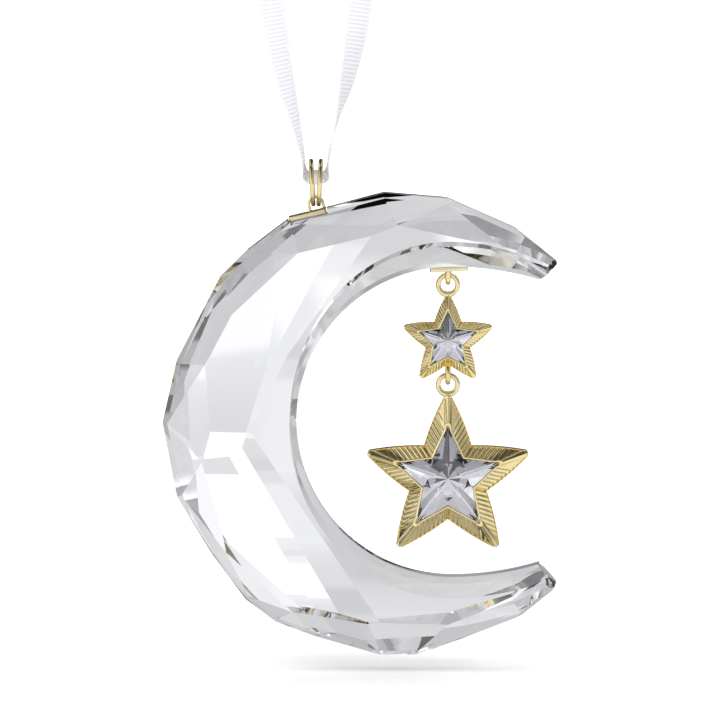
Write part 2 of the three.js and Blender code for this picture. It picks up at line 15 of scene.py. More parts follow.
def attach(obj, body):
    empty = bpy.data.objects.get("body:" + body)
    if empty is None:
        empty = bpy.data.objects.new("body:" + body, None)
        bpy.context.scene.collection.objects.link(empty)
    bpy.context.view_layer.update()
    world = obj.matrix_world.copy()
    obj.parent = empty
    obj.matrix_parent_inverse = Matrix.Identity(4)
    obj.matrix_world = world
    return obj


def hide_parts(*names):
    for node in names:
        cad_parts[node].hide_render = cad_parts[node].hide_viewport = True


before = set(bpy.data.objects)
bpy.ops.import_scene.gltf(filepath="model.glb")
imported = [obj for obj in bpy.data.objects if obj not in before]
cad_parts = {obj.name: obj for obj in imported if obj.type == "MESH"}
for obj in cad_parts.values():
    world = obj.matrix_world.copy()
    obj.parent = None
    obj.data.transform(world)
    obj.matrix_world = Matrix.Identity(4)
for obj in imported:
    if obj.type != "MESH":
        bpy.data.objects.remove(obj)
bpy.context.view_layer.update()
MM = 0.001


# %% [markdown]
# Camera first. The photograph looks straight at the crescent from a little above,
# with a long lens, so that near and far parts are the same size. A camera far
# away with a narrow lens gives that flat look.

# %% Camera
PIXELS_PER_MM = 6.0
PHOTO_SIDE = 720
VIEW_CENTRE = Vector((7.33, 0.0, -94.83)) * MM
CAMERA_DISTANCE = 1.5
CAMERA_ELEVATION = math.radians(5)
SENSOR_WIDTH = 36.0


def make_camera():
    seen_width = PHOTO_SIDE / PIXELS_PER_MM * MM
    away = Vector((0, -math.cos(CAMERA_ELEVATION), math.sin(CAMERA_ELEVATION)))
    bpy.ops.object.camera_add(location=VIEW_CENTRE + away * CAMERA_DISTANCE)
    camera = bpy.context.object
    camera.name = "camera"
    camera.rotation_euler = (math.pi / 2 - CAMERA_ELEVATION, 0, 0)
    camera.data.sensor_width = SENSOR_WIDTH
    camera.data.lens = SENSOR_WIDTH * CAMERA_DISTANCE / seen_width
    camera.data.clip_end = 50
    bpy.context.scene.camera = camera
    return camera


camera = make_camera()
print("lens", round(camera.data.lens), "mm")


# %% [markdown]
# Every finish is a small network of nodes. Written out by hand, each sum needs a
# Math node and two links, which hides the idea. The class below lets a network be
# written as ordinary sums: an Amount is a number on its way between nodes.

# %% Nodes written as sums
class Amount:
    """A value on its way from one node to the next; sums on it add Math nodes."""

    def __init__(self, recipe, node, output):
        self.recipe = recipe
        self.of = node
        self.socket = node.outputs[output]

    def __getitem__(self, output):
        return Amount(self.recipe, self.of, output)

    def sum(self, operation, *values):
        return self.recipe.node("ShaderNodeMath", {"operation": operation}, dict(enumerate(values)))

    def __add__(self, other):
        return self.sum("ADD", self, other)

    __radd__ = __add__

    def __sub__(self, other):
        return self.sum("SUBTRACT", self, other)

    def __rsub__(self, other):
        return self.sum("SUBTRACT", other, self)

    def __mul__(self, other):
        return self.sum("MULTIPLY", self, other)

    __rmul__ = __mul__

    def __neg__(self):
        return self * -1

    def __truediv__(self, other):
        return self.sum("DIVIDE", self, other)

    def __abs__(self):
        return self.sum("ABSOLUTE", self)

    def sine(self):
        return self.sum("SINE", self)

    def cosine(self):
        return self.sum("COSINE", self)

    def larger(self, other):
        return self.sum("MAXIMUM", self, other)

    def step(self, low, high):
        """0 below low, 1 above high and a smooth slope between them."""
        sockets = {"Value": self, "From Min": low, "From Max": high}
        return self.recipe.node("ShaderNodeMapRange", {"interpolation_type": "SMOOTHSTEP"}, sockets)

    def between(self, low, rise, fall, high):
        """1 from rise to fall, and 0 below low and above high."""
        return self.step(low, rise) - self.step(fall, high)

    def towards(self, other, share):
        """This value mixed with another: share is 0 for none of it and 1 for all."""
        return self + (other - self) * share


print("sums are ready")


# %% [markdown]
# A Recipe is the network that an Amount belongs to. One method adds any node: its
# settings are choices in the node, and each socket takes a number or an Amount.
# Three shorthands cover what most finishes need: blended colours, noise and bumps.

# %% The network of a finish
class Recipe:
    """A node network, with one method that adds any node."""

    def __init__(self, owner):
        owner.use_nodes = True
        self.nodes = owner.node_tree.nodes
        self.links = owner.node_tree.links

    def node(self, kind, settings=None, sockets=None, output=0):
        node = self.nodes.new(kind)
        for name, value in (settings or {}).items():
            if name == "stops":
                self.set_stops(node.color_ramp, value)
            else:
                setattr(node, name, value)
        for name, value in (sockets or {}).items():
            self.feed(node.inputs[name], value)
        return Amount(self, node, output)

    def feed(self, socket, value):
        if isinstance(value, Amount):
            self.links.new(value.socket, socket)
        else:
            socket.default_value = value

    def set(self, shader, **values):
        """Sets sockets of a shader by their names, with _ for each space."""
        for name, value in values.items():
            self.feed(shader.inputs[name.replace("_", " ")], value)

    def set_stops(self, ramp, stops):
        while len(ramp.elements) < len(stops):
            ramp.elements.new(1.0)
        for element, (place, colour) in zip(ramp.elements, stops):
            element.position = place
            element.color = colour

    def blend(self, factor, first, second):
        """The first colour where the factor is 0, the second where it is 1."""
        sockets = {0: factor, 6: first, 7: second}
        return self.node("ShaderNodeMix", {"data_type": "RGBA"}, sockets, output=2)

    def noise(self, place, scale, detail):
        sockets = {"Vector": place, "Scale": scale, "Detail": detail}
        return self.node("ShaderNodeTexNoise", {}, sockets)

    def bump(self, height, distance, strength):
        sockets = {"Height": height, "Distance": distance, "Strength": strength}
        return self.node("ShaderNodeBump", {}, sockets)


def rgb(red, green, blue):
    return (red, green, blue, 1.0)


def new_finish(name, **shader_values):
    """A material with its shader set; returns the material, its recipe and shader."""
    material = bpy.data.materials.new(name)
    recipe = Recipe(material)
    shader = recipe.nodes["Principled BSDF"]
    recipe.set(shader, **shader_values)
    return material, recipe, shader


print("networks are ready")


# %% [markdown]
# A few helpers for modelling. An operator works on what is selected, so each
# piece starts with nothing else selected. More helpers follow where they are
# first needed.

# %% Modelling helpers
def deselect_all():
    if bpy.context.object and bpy.context.object.mode == "EDIT":
        bpy.ops.object.mode_set(mode="OBJECT")
    bpy.ops.object.select_all(action="DESELECT")


def only(piece):
    deselect_all()
    piece.select_set(True)
    bpy.context.view_layer.objects.active = piece


def open_all(piece):
    """Opens the piece for editing with all of it selected."""
    only(piece)
    bpy.ops.object.mode_set(mode="EDIT")
    bpy.ops.mesh.select_all(action="SELECT")


def close():
    bpy.ops.object.mode_set(mode="OBJECT")


def face_outwards(piece):
    open_all(piece)
    bpy.ops.mesh.normals_make_consistent(inside=False)
    close()


def mesh_piece(name, corners, faces):
    mesh = bpy.data.meshes.new(name)
    mesh.from_pydata([tuple(c) for c in corners], [], faces)
    piece = bpy.data.objects.new(name, mesh)
    bpy.context.scene.collection.objects.link(piece)
    return piece


print("helpers ready: only, open_all, close, face_outwards, mesh_piece")


# %% [markdown]
# The ribbon. It is one flat woven band that goes from the knot down through both
# rings and back up. Cloth simulation would move it away from the rings, so its
# line is given by the same points as in the frame, joined by a smooth curve. At
# each point the band also has a turn: edge-on in the rings, face-on above them.

# %% The ribbon's line
RIBBON_WIDTH = 4.0
RIBBON_THICKNESS = 0.4
RING_CENTRE_Z = -65.2
BAND_LOW_Z = RING_CENTRE_Z + 0.9
BAND_BEND = 1.6
RIBBON_HALF = [  # x, y, z, and the turn of the band in degrees
    (-0.3, 0.36, 7.2, 90), (-2.2, 0.32, 0.0, 90), (-6.3, 0.15, -11.0, 90),
    (-8.3, 0.0, -23.0, 90), (-7.5, 0.0, -34.6, 80), (-5.2, 0.0, -48.0, 42),
    (-3.6, 0.0, -54.4, 16), (-2.35, 0.0, -60.0, 3),
    (-BAND_BEND, 0.0, BAND_LOW_Z + 0.45, 0), (-BAND_BEND / 2, 0.0, BAND_LOW_Z + 0.08, 0),
]


def curve_through(points, place):
    """A point on the centripetal Catmull-Rom curve; place runs from 0 to 1."""
    last = len(points) - 1
    index = min(int(place * last), last - 1)
    part = place * last - index
    p1, p2 = points[index], points[index + 1]
    p0 = points[index - 1] if index > 0 else p1 * 2 - p2
    p3 = points[index + 2] if index + 2 <= last else p2 * 2 - p1
    gaps = [(b - a).length ** 0.5 for a, b in ((p0, p1), (p1, p2), (p2, p3))]
    middle = gaps[1] if gaps[1] > 1e-2 else 1.0
    before = gaps[0] if gaps[0] > 1e-2 else middle
    after = gaps[2] if gaps[2] > 1e-2 else middle
    slope_1 = (p1 - p0) / before - (p2 - p0) / (before + middle) + (p2 - p1) / middle
    slope_2 = (p2 - p1) / middle - (p3 - p1) / (middle + after) + (p3 - p2) / after
    slope_1, slope_2 = slope_1 * middle, slope_2 * middle
    cubic = 2 * p1 - 2 * p2 + slope_1 + slope_2
    square = 3 * p2 - 3 * p1 - 2 * slope_1 - slope_2
    return p1 + slope_1 * part + square * part**2 + cubic * part**3


print("points on one side of the loop:", len(RIBBON_HALF))


# %% [markdown]
# The band is built from frames: places along the line, each with the direction
# across the band and the direction off its face. The places must be evenly spaced,
# or the ribs would crowd in the bends, so the line is measured first.

# %% Places along the ribbon
RIBBON_CANT = math.radians(33)
FINE_STEPS = 2000


def heading(line, place, reach):
    """The way the curve runs at a place, over a short reach before and after it."""
    ahead, behind = min(1.0, place + reach), max(0.0, place - reach)
    return (curve_through(line, ahead) - curve_through(line, behind)).normalized()


def square_to(tangent, direction):
    """The part of a direction that is square to the line, one unit long."""
    return (direction - tangent * direction.dot(tangent)).normalized()


def ribbon_rows():
    mirrored = [(-x, -y, z, -turn) for x, y, z, turn in reversed(RIBBON_HALF)]
    return RIBBON_HALF + [(0.0, 0.0, BAND_LOW_Z, 0)] + mirrored


def ribbon_frames(count):
    """Evenly spaced places on the band: centre, across the band, off its face."""
    rows = ribbon_rows()
    line = [Vector(row[:3]) for row in rows]
    turns = [Vector((row[3], 0, 0)) for row in rows]
    fine = [curve_through(line, i / FINE_STEPS) for i in range(FINE_STEPS + 1)]
    walked = [0.0]
    for a, b in zip(fine, fine[1:]):
        walked.append(walked[-1] + (b - a).length)
    frames, near = [], 0
    for i in range(count + 1):
        wanted = walked[-1] * i / count
        while near < FINE_STEPS - 1 and walked[near + 1] < wanted:
            near += 1
        part = (wanted - walked[near]) / (walked[near + 1] - walked[near])
        place = (near + part) / FINE_STEPS
        tangent = heading(line, place, 1e-4)
        turn = math.radians(curve_through(turns, place).x)
        lean = RIBBON_CANT * math.cos(turn)
        across = square_to(tangent, Vector((0, -math.cos(lean), -math.sin(lean))))
        across = Matrix.Rotation(turn, 3, tangent) @ across
        frames.append((curve_through(line, place), across, tangent.cross(across)))
    return frames, walked[-1]


ribbon_path, ribbon_length = ribbon_frames(120)
print("ribbon in the loop:", round(ribbon_length, 1), "mm")


# %% [markdown]
# Ribbed ribbon is woven with thick threads across it, which stand up as fine
# ribs, and has a plain edge at each side. The ribs show in the photograph, so
# they are real ridges: the section is carried along the line, and its thickness
# swells and thins once for each rib.

# %% The ribbon's ribs
RIB_PITCH = 0.68
ROWS_TO_A_RIB = 4
RIB_HEIGHT = 0.07
EDGE_WIDTH = 0.42


def band_section(swell, middle):
    """Half the outline of the band, from edge to edge, as (across, height)."""
    half, thick = RIBBON_WIDTH / 2, RIBBON_THICKNESS / 2
    inner = half - EDGE_WIDTH
    edge_height = thick - 0.05
    rib = [(u, thick - 0.06 + swell) for u in [0.12 - inner] + middle + [inner - 0.12]]
    return [
        (-half, 0.0), (-half + 0.06, edge_height * 0.8), (-half + 0.25, edge_height),
        (-inner, thick - 0.11), *rib, (inner, thick - 0.11),
        (half - 0.25, edge_height), (half - 0.06, edge_height * 0.8), (half, 0.0),
    ]


def tube_faces(rings, around):
    """The quads between rings of corners that follow one another."""
    faces = []
    for a in range(0, (rings - 1) * around, around):
        b = a + around
        faces += [(a + k, a + (k + 1) % around, b + (k + 1) % around, b + k)
                  for k in range(around)]
    return faces


def woven_band(name, frames, folds=None):
    """A ribbed band along the frames, closed at both ends. Each fold is the band's
    width at a frame, against its full width, and how high it is creased."""
    corners, uvs = [], []
    middle = [-1.1, -0.73, -0.37, 0.0, 0.37, 0.73, 1.1] if folds else [0.0]
    for i, (centre, across, off) in enumerate(frames):
        phase = 2 * math.pi * i / ROWS_TO_A_RIB
        width, crease = folds[i] if folds else (1.0, 0.0)
        top = band_section(RIB_HEIGHT * max(-0.6, math.cos(phase)), middle)
        low = band_section(-RIB_HEIGHT * 0.6 * math.cos(phase), middle)
        bottom = [(u, -v) for u, v in reversed(low)][1:-1]
        for u, v in top + bottom:
            lift = crease * math.cos(3 * math.pi * u / RIBBON_WIDTH)
            corners.append((centre + across * (u * width) + off * (v + lift)) * MM)
            uvs.append((u, i / ROWS_TO_A_RIB))
    around, count = len(top + bottom), len(corners)
    faces = tube_faces(len(frames), around)
    faces += [tuple(range(around))[::-1], tuple(range(count - around, count))]
    piece = mesh_piece(name, corners, faces)
    layer = piece.data.uv_layers.new(name="weave")
    for loop in piece.data.loops:
        layer.data[loop.index].uv = uvs[loop.vertex_index]
    face_outwards(piece)
    bpy.ops.object.shade_smooth()
    return piece


rib_count = round(ribbon_length / RIB_PITCH)
ribbon = woven_band("woven_ribbon", ribbon_frames(rib_count * ROWS_TO_A_RIB)[0])
print("ribs:", rib_count)


# %% [markdown]
# White polyester thread: matt, with a soft sheen. The colour is painted darker between
# the ribs, a painted shade in their hollows that turns a little lilac, and each thread
# across has its own faint tone. The pattern is read from the band's own UV map, so it
# follows every turn.

# %% Ribbon finish
def make_ribbon_finish():
    material, recipe, shader = new_finish("white_weave", Roughness=0.85, Sheen_Weight=0.25)
    uv = recipe.node("ShaderNodeUVMap", {"uv_map": "weave"})
    spread = recipe.node("ShaderNodeSeparateXYZ", {}, {"Vector": uv})
    across, along = spread["X"], spread["Y"]
    rib = (along * (2 * math.pi)).cosine() * 0.5 + 0.5
    in_middle = 1 - abs(across).step(1.5, 1.66)
    stretched = recipe.node("ShaderNodeCombineXYZ", {}, {"X": across * 0.4, "Y": along * 3.1})
    threads = recipe.noise(stretched, 2.0, 2.0)
    # painted shade: the tone drops in the hollows between the ribs, towards the lilac colour; the
    # thread noise is a real random tone
    tone = (rib * in_middle + (1 - in_middle) * 0.6) * 0.75 + threads * 0.5 - 0.12
    colour = recipe.blend(tone, rgb(0.66, 0.64, 0.69), rgb(0.90, 0.89, 0.91))
    warp = ((across * 42).sine() * 0.5 + 0.5) * (0.3 + rib * 0.7)
    recipe.set(shader, Base_Color=colour, Normal=recipe.bump(warp, 0.04 * MM, 0.5))
    return material


def dress(piece, body, node, slot, material):
    """Gives a finished piece its material and its place in the frame."""
    piece.data.materials.clear()
    piece.data.materials.append(material)
    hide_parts(node)
    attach(piece, body)
    print(piece.name, len(piece.data.polygons), "faces")


weave = make_ribbon_finish()
dress(ribbon, "ribbon_loop", "ribbon", "ribbon", weave)


# %% [markdown]
# The knot is a real overhand knot tied with both ends at once. Both follow one
# line: up through the middle, over the front at the top, down round the right
# side, across the back, round the left side, and out under the first turn. The
# band is pulled narrow there, so it has creases along it.

# %% The knot
KNOT_CENTRE = Vector((0.0, 0.0, 9.8))
KNOT_LAYER = 0.26
KNOT_RIBS = 37
KNOT_ROWS = [  # x, y, z, the way its face looks (x, y, z), width, how far the two ends part
    (0.0, 0.0, -2.55, 0.0, 1.0, 0.0, 1.0, -0.3), (-0.1, 0.35, -1.4, 0.0, 1.0, 0.0, 0.8, -0.1),
    (-0.5, 0.45, 0.0, 0.0, 1.0, 0.0, 0.7, 0.0), (-1.0, 0.05, 1.35, 0.4, 0.8, -0.3, 0.64, 0.0),
    (-0.2, -1.0, 1.5, 0.0, 1.0, -0.3, 0.62, 0.0), (1.2, -1.2, 0.9, -0.2, 1.0, -0.1, 0.64, 0.0),
    (2.4, -0.3, -0.1, -1.0, 0.3, 0.0, 0.62, 0.0), (1.9, 0.95, -0.6, -0.6, -0.8, 0.0, 0.66, 0.0),
    (0.0, 1.35, -0.7, 0.0, -1.0, 0.0, 0.72, 0.0), (-1.9, 0.95, -0.8, 0.6, -0.8, 0.0, 0.66, 0.0),
    (-2.4, -0.2, -0.75, 1.0, 0.2, 0.0, 0.62, 0.0), (-1.5, -1.1, -0.7, 0.4, 1.0, 0.1, 0.66, 0.0),
    (0.0, -1.05, -0.3, 0.0, 1.0, 0.2, 0.66, 0.0), (0.8, -0.3, 0.9, 0.0, 1.0, 0.2, 0.62, 0.25),
    (0.1, 0.0, 2.35, 0.0, 1.0, 0.0, 0.85, 1.05),
]


def knot_band(layer, count):
    """One of the two ends in the knot: its frames and its folds."""
    line = [KNOT_CENTRE + Vector(row[:3]) for row in KNOT_ROWS]
    facing = [Vector(row[3:6]) for row in KNOT_ROWS]
    sizes = [Vector((row[6], row[7], 0)) for row in KNOT_ROWS]
    frames, folds = [], []
    for i in range(count + 1):
        place = i / count
        width, apart, _ = curve_through(sizes, place)
        tangent = heading(line, place, 1e-3)
        off = square_to(tangent, curve_through(facing, place).normalized())
        middle = curve_through(line, place) + off * (KNOT_LAYER * layer)
        frames.append((middle + Vector((layer * apart, 0, 0)), off.cross(tangent), off))
        folds.append((width, 0.3 * max(0.0, 0.9 - width) * layer))
    return frames, folds


def join(pieces):
    """Joins pieces to the first one."""
    deselect_all()
    for piece in pieces:
        piece.select_set(True)
    bpy.context.view_layer.objects.active = pieces[0]
    bpy.ops.object.join()
    return pieces[0]


knot_rows = KNOT_RIBS * ROWS_TO_A_RIB
knot = join([woven_band("tied_knot", *knot_band(layer, knot_rows)) for layer in (1, -1)])
dress(knot, "ribbon_loop", "ribbon_knot", "ribbon", weave)


# %% [markdown]
# Above the knot the two ends of the ribbon stand up and lean apart. They are cut on
# the slant, because a straight cut frays sooner. Each is the same woven band along
# a short curved line, and a bisect near its end makes the slanting cut.

# %% The two cut ends
TAIL_LENGTH = 12.0
TAIL_LEAN = math.radians(20)
TAIL_TWIST = math.radians(14)
TAIL_START = (1.15, 0.26, 2.3)
TAIL_CURL, TAIL_RIPPLE, TAIL_BOW = 1.2, 0.35, 0.9
CUT_BACK, CUT_SLANT = 1.3, 0.6


def tail_frames(side):
    """A cut end that leaves the knot, leans outwards and curls a little."""
    start = KNOT_CENTRE + Vector((side * TAIL_START[0], side * TAIL_START[1], TAIL_START[2]))
    along = Vector((math.sin(TAIL_LEAN) * side, 0, math.cos(TAIL_LEAN)))
    count = round(TAIL_LENGTH / RIB_PITCH) * ROWS_TO_A_RIB
    points = []
    for i in range(count + 1):
        t = i / count
        wave = TAIL_CURL * t * t + TAIL_RIPPLE * math.sin(2 * math.pi * t) * t
        curl = Vector((-TAIL_BOW * math.sin(math.pi * t) / math.pi, wave, 0)) * side
        points.append(start + along * (TAIL_LENGTH * t) + curl)
    frames = []
    for i, point in enumerate(points):
        tangent = (points[min(i + 1, count)] - points[max(i - 1, 0)]).normalized()
        twist = TAIL_TWIST * side * (i / count)
        across = square_to(tangent, Vector((math.cos(twist), math.sin(twist), 0)))
        frames.append((point, across, tangent.cross(across)))
    folds = [(0.86 + 0.14 * min(1.0, 3 * i / count), 0.0) for i in range(count + 1)]
    return frames, folds


def cut_end(side):
    """A tail whose end is cut on the slant."""
    frames, folds = tail_frames(side)
    tail = woven_band("cut_end_left" if side < 0 else "cut_end_right", frames, folds)
    point, across, off = frames[-1]
    along = across.cross(off).normalized()
    if along.z < 0:
        along = -along
    slant = (along + across * side * CUT_SLANT).normalized()
    open_all(tail)
    bpy.ops.mesh.bisect(plane_co=(point - along * CUT_BACK) * MM, plane_no=slant, use_fill=True,
                        clear_outer=True)
    close()
    return tail


tails = [cut_end(-1), cut_end(1)]
for tail, side in zip(tails, ("left", "right")):
    dress(tail, "ribbon_loop", "ribbon_tail_" + side, "ribbon", weave)


# %% [markdown]
# Last for the ribbon, its points along the line are put in metres, and so is its length.

ribbon_points = [point * MM for point, across, off in ribbon_path]
ribbon_length * MM


# %% [markdown]
# The crescent is ground from one block of glass, and its outline is a ring of
# short straight sides. The corners below are x and z from its centre: the girdle
# first, which is the widest line, and then the flat table on each face.

# %% The crescent's corners
CRESCENT_CENTRE = Vector((12.83, 0.0, -105.396))
CRESCENT_THICKNESS = 15.0
GIRDLE_WIDTH = 4.0
RIM_STEP_WIDTH = 0.8
RIM_STEP_DEPTH = 1.2
OUTLINE = [
    (27.3, 26.6), (27.1, 28.0), (22.3, 31.9), (9.2, 37.7), (-1.5, 38.6), (-10.9, 36.1),
    (-17.4, 34.2), (-24.1, 29.1), (-28.8, 24.5), (-36.1, 10.4), (-38.4, 0.3), (-36.0, -12.1),
    (-30.2, -21.7), (-24.6, -29.3), (-19.5, -33.1), (-12.8, -35.6), (-2.2, -38.6),
    (4.5, -38.6), (11.3, -36.0), (21.6, -32.1), (26.8, -27.9), (27.3, -26.3),
]
FRONT_TABLE = [
    (24.4, 28.0), (13.0, 31.0), (0.8, 33.6), (-15.8, 28.9), (-26.8, 18.6), (-31.3, 10.2),
    (-31.8, -6.0), (-27.8, -21.1), (-16.7, -31.1), (-4.2, -32.9), (10.2, -33.0), (24.3, -27.4),
]
BACK_TABLE = [
    (24.6, 28.6), (17.4, 31.0), (7.2, 34.8), (-4.5, 32.4), (-12.8, 31.4), (-22.6, 23.4),
    (-28.2, 17.6), (-32.6, 6.4), (-32.0, -3.4), (-30.6, -14.6), (-24.2, -24.4),
    (-18.8, -30.2), (-9.6, -31.6), (0.8, -34.6), (9.4, -32.0), (18.0, -31.2), (24.4, -27.6),
]
TABLES = {-1: FRONT_TABLE, 1: BACK_TABLE}
print("corners on the girdle:", len(OUTLINE))


# %% [markdown]
# The front and the back aren't plain. Large flats are ground on both, and each
# falls away from the middle one across an edge. A flat is written as the two ends
# of that edge and its fall in degrees, which is how a wheel is set for it.

# %% Large flats
FACE_DEPTH = 7.5
FRONT_FLATS = [
    ((-5.5, 29.1), (-17.5, 12.05), 8.0),
    ((-17.5, 12.05), (-23.5, -0.67), 7.2),
    ((-26.8, 17.9), (-29.8, 0.2), 12.0),
    ((-29.8, 0.2), (-26.3, -8.2), 9.0),
    ((-23.0, -1.84), (-4.0, -29.95), 8.0),
    ((-21.0, -13.2), (-4.6, -33.5), 12.0),
]
BACK_FLATS = [
    ((-10.0, 28.0), (-20.5, 9.0), 5.0),
    ((-20.5, 9.0), (-24.6, -4.0), 11.0),
    ((-24.6, -4.0), (-15.0, -20.5), 7.0),
    ((-28.0, 0.0), (-12.0, -28.0), 11.0),
]
OUT = 10  # how far from the edge a flat's third point is taken


def panel_corners(flats):
    """Three points of each large flat: x, depth, z."""
    panels = [((0, FACE_DEPTH, 0), (1, FACE_DEPTH, 0), (0, FACE_DEPTH, 1))]
    for (x1, z1), (x2, z2), fall in flats:
        along = Vector((x2 - x1, z2 - z1)).normalized()
        outward = Vector((along.y, -along.x))
        third = Vector((x1, z1)) + outward * OUT
        depth = FACE_DEPTH - OUT * math.tan(math.radians(fall))
        panels.append(((x1, FACE_DEPTH, z1), (x2, FACE_DEPTH, z2), (third.x, depth, third.y)))
    return panels


PANELS = {-1: panel_corners(FRONT_FLATS), 1: panel_corners(BACK_FLATS)}


def face_depth(side, x, z):
    """How far a face stands from the middle plane at this place."""
    depths = []
    for corners in PANELS[side]:
        a, b, c = (Vector(corner) for corner in corners)
        normal = (b - a).cross(c - a)
        depths.append(a.y - (normal.x * (x - a.x) + normal.z * (z - a.z)) / normal.y)
    return min(depths)


print("large flats:", len(FRONT_FLATS), "on the front and", len(BACK_FLATS), "on the back")


# %% [markdown]
# Every facet is a plane. Around the rim each plane goes through one edge and must
# rest on the corners next to it without cutting any of them off, so a few planes
# are tried for each edge and the one with every corner behind it is kept.

# %% A plane for each facet
def crescent_point(x, y, z):
    return (CRESCENT_CENTRE + Vector((x, y, z))) * MM


def facet_plane(a, b, c):
    """The plane through three corners, with its normal out of the crescent."""
    normal = (b - a).cross(c - a).normalized()
    if normal.dot(a - CRESCENT_CENTRE * MM) < 0:
        normal.negate()
    return a, normal


def resting_plane(a, b, candidates, corners):
    """The plane through an edge and a candidate that has every corner behind it."""
    planes = [facet_plane(a, b, c) for c in candidates]
    return min(planes, key=lambda plane: max((c - plane[0]).dot(plane[1]) for c in corners))


def crescent_planes():
    planes = []
    for side in (-1, 1):
        for corners in PANELS[side]:
            planes.append(facet_plane(*(crescent_point(x, side * d, z) for x, d, z in corners)))
        band = side * GIRDLE_WIDTH / 2
        step = band + side * RIM_STEP_DEPTH
        shrinks = [1 - RIM_STEP_WIDTH / math.hypot(x, z) for x, z in OUTLINE]
        rim = [crescent_point(x, band, z) for x, z in OUTLINE]
        inner = [crescent_point(x * s, step, z * s) for (x, z), s in zip(OUTLINE, shrinks)]
        table = [crescent_point(x, side * face_depth(side, x, z), z) for x, z in TABLES[side]]
        for i in range(len(OUTLINE)):
            n = (i + 1) % len(OUTLINE)
            if side > 0:
                planes.append(facet_plane(rim[i], rim[n], rim[i] - Vector((0, MM, 0))))
            planes.append(facet_plane(rim[i], rim[n], (inner[i] + inner[n]) / 2))
            planes.append(resting_plane(inner[i], inner[n], table, inner + table))
        for i in range(len(table)):
            n = (i + 1) % len(table)
            planes.append(resting_plane(table[i], table[n], inner, inner + table))
    return planes


planes = crescent_planes()
print("planes to grind:", len(planes))


# %% [markdown]
# A wheel takes away all that is outside a plane, and a bisect does the same. So
# the crescent starts as a plain cube and is bisected once for each facet.

# %% Grinding the block
def named(name):
    """Names the object that an operator has just made."""
    piece = bpy.context.object
    piece.name = name
    piece.data.name = name
    return piece


def settle(piece):
    """Moves the piece's place, turn and size into its mesh."""
    only(piece)
    bpy.ops.object.transform_apply(location=True, rotation=True, scale=True)


def place_piece(piece, place, turns=(0, 0, 0)):
    """Turns the piece and moves it to a place in millimetres, and settles it."""
    piece.rotation_euler = turns
    piece.location = Vector(place) * MM
    settle(piece)


def block(name, size, place, turns=(0, 0, 0)):
    """A plain block to cut from, in millimetres."""
    deselect_all()
    bpy.ops.mesh.primitive_cube_add(size=1)
    piece = named(name)
    piece.scale = Vector(size) * MM
    place_piece(piece, place, turns)
    return piece


def grind(piece, planes):
    """Grinds one flat on the block for each plane."""
    open_all(piece)
    for point, normal in planes:
        bpy.ops.mesh.select_all(action="SELECT")
        bpy.ops.mesh.bisect(plane_co=point, plane_no=normal, use_fill=True, clear_outer=True,
                            threshold=1e-7)
    close()


crystal = block("cut_crystal", (80, CRESCENT_THICKNESS + 1, 80), CRESCENT_CENTRE)
grind(crystal, planes)
print("facets on the block:", len(crystal.data.polygons))


# %% [markdown]
# The opening has a smooth round wall, so it isn't ground flat by flat. A cutter
# is built as rings of points at six depths, the middle ones at the wall's own
# radius and the outer ones wider, which leaves the bevels at both faces. A
# Boolean modifier then takes it out of the block.

# %% The opening
BOW = Vector((9.83, 0.38))
BOW_RADIUS = 25.93
HORN_RADIUS = 50.0
HORN_REACH = math.asin((OUTLINE[0][0] + 5.0 - BOW.x) / HORN_RADIUS)
FACE_BEVELS = (1.1, 3.85, 3.0, 3.1, 2.35)  # left, top, bottom, upper tip, lower tip
INNER_BEVEL = 0.9
WALL_AT, INNER_BEVEL_AT, CUTTER_AT = 2.2, 4.5, 8.5  # its rings, from the middle plane
BOW_STEPS, HORN_STEPS = 180, 30


def wall_point(side, turn, offsets):
    """A point on the wall: side is 0 on the bow, 1 on the upper horn, -1 on the lower."""
    left, top, bottom, upper_tip, lower_tip = offsets
    if side == 0:
        rise = math.sin(turn)
        full = top if rise > 0 else bottom
        radius = BOW_RADIUS + left + (full - left) * rise * rise
        return BOW.x + radius * math.cos(turn), BOW.y + radius * rise
    start, tip = (top, upper_tip) if side > 0 else (bottom, lower_tip)
    radius = HORN_RADIUS + start + (tip - start) * turn
    swing = turn * HORN_REACH
    rise = BOW_RADIUS - HORN_RADIUS + radius * math.cos(swing)
    return BOW.x + radius * math.sin(swing), BOW.y + side * rise


def wall_steps():
    steps = [(1, i / HORN_STEPS) for i in range(HORN_STEPS, 0, -1)]
    steps += [(0, math.pi / 2 + math.pi * i / BOW_STEPS) for i in range(BOW_STEPS + 1)]
    return steps + [(-1, i / HORN_STEPS) for i in range(1, HORN_STEPS + 1)]


def opening_cutter():
    face = CRESCENT_THICKNESS / 2
    carry = (CUTTER_AT - face) / (face - INNER_BEVEL_AT)
    outside = [bevel + (bevel - INNER_BEVEL) * carry for bevel in FACE_BEVELS]
    levels = [(-CUTTER_AT, outside), (-INNER_BEVEL_AT, [INNER_BEVEL] * 5), (-WALL_AT, [0.0] * 5)]
    levels += [(-y, offsets) for y, offsets in reversed(levels)]
    steps = wall_steps()
    corners = [crescent_point(x, y, z) for y, offsets in levels
               for x, z in (wall_point(side, turn, offsets) for side, turn in steps)]
    count, last = len(steps), len(corners) - len(steps)
    faces = [tuple(range(count)), tuple(range(last, last + count))[::-1]]
    faces += [(a, d, c, b) for a, b, c, d in tube_faces(len(levels), count)]
    return mesh_piece("opening_cutter", corners, faces)


def apply_modifiers(piece):
    only(piece)
    for modifier in list(piece.modifiers):
        bpy.ops.object.modifier_apply(modifier=modifier.name)


def add_modifier(piece, kind, **settings):
    modifier = piece.modifiers.new(kind.title(), kind)
    for name, value in settings.items():
        setattr(modifier, name, value)


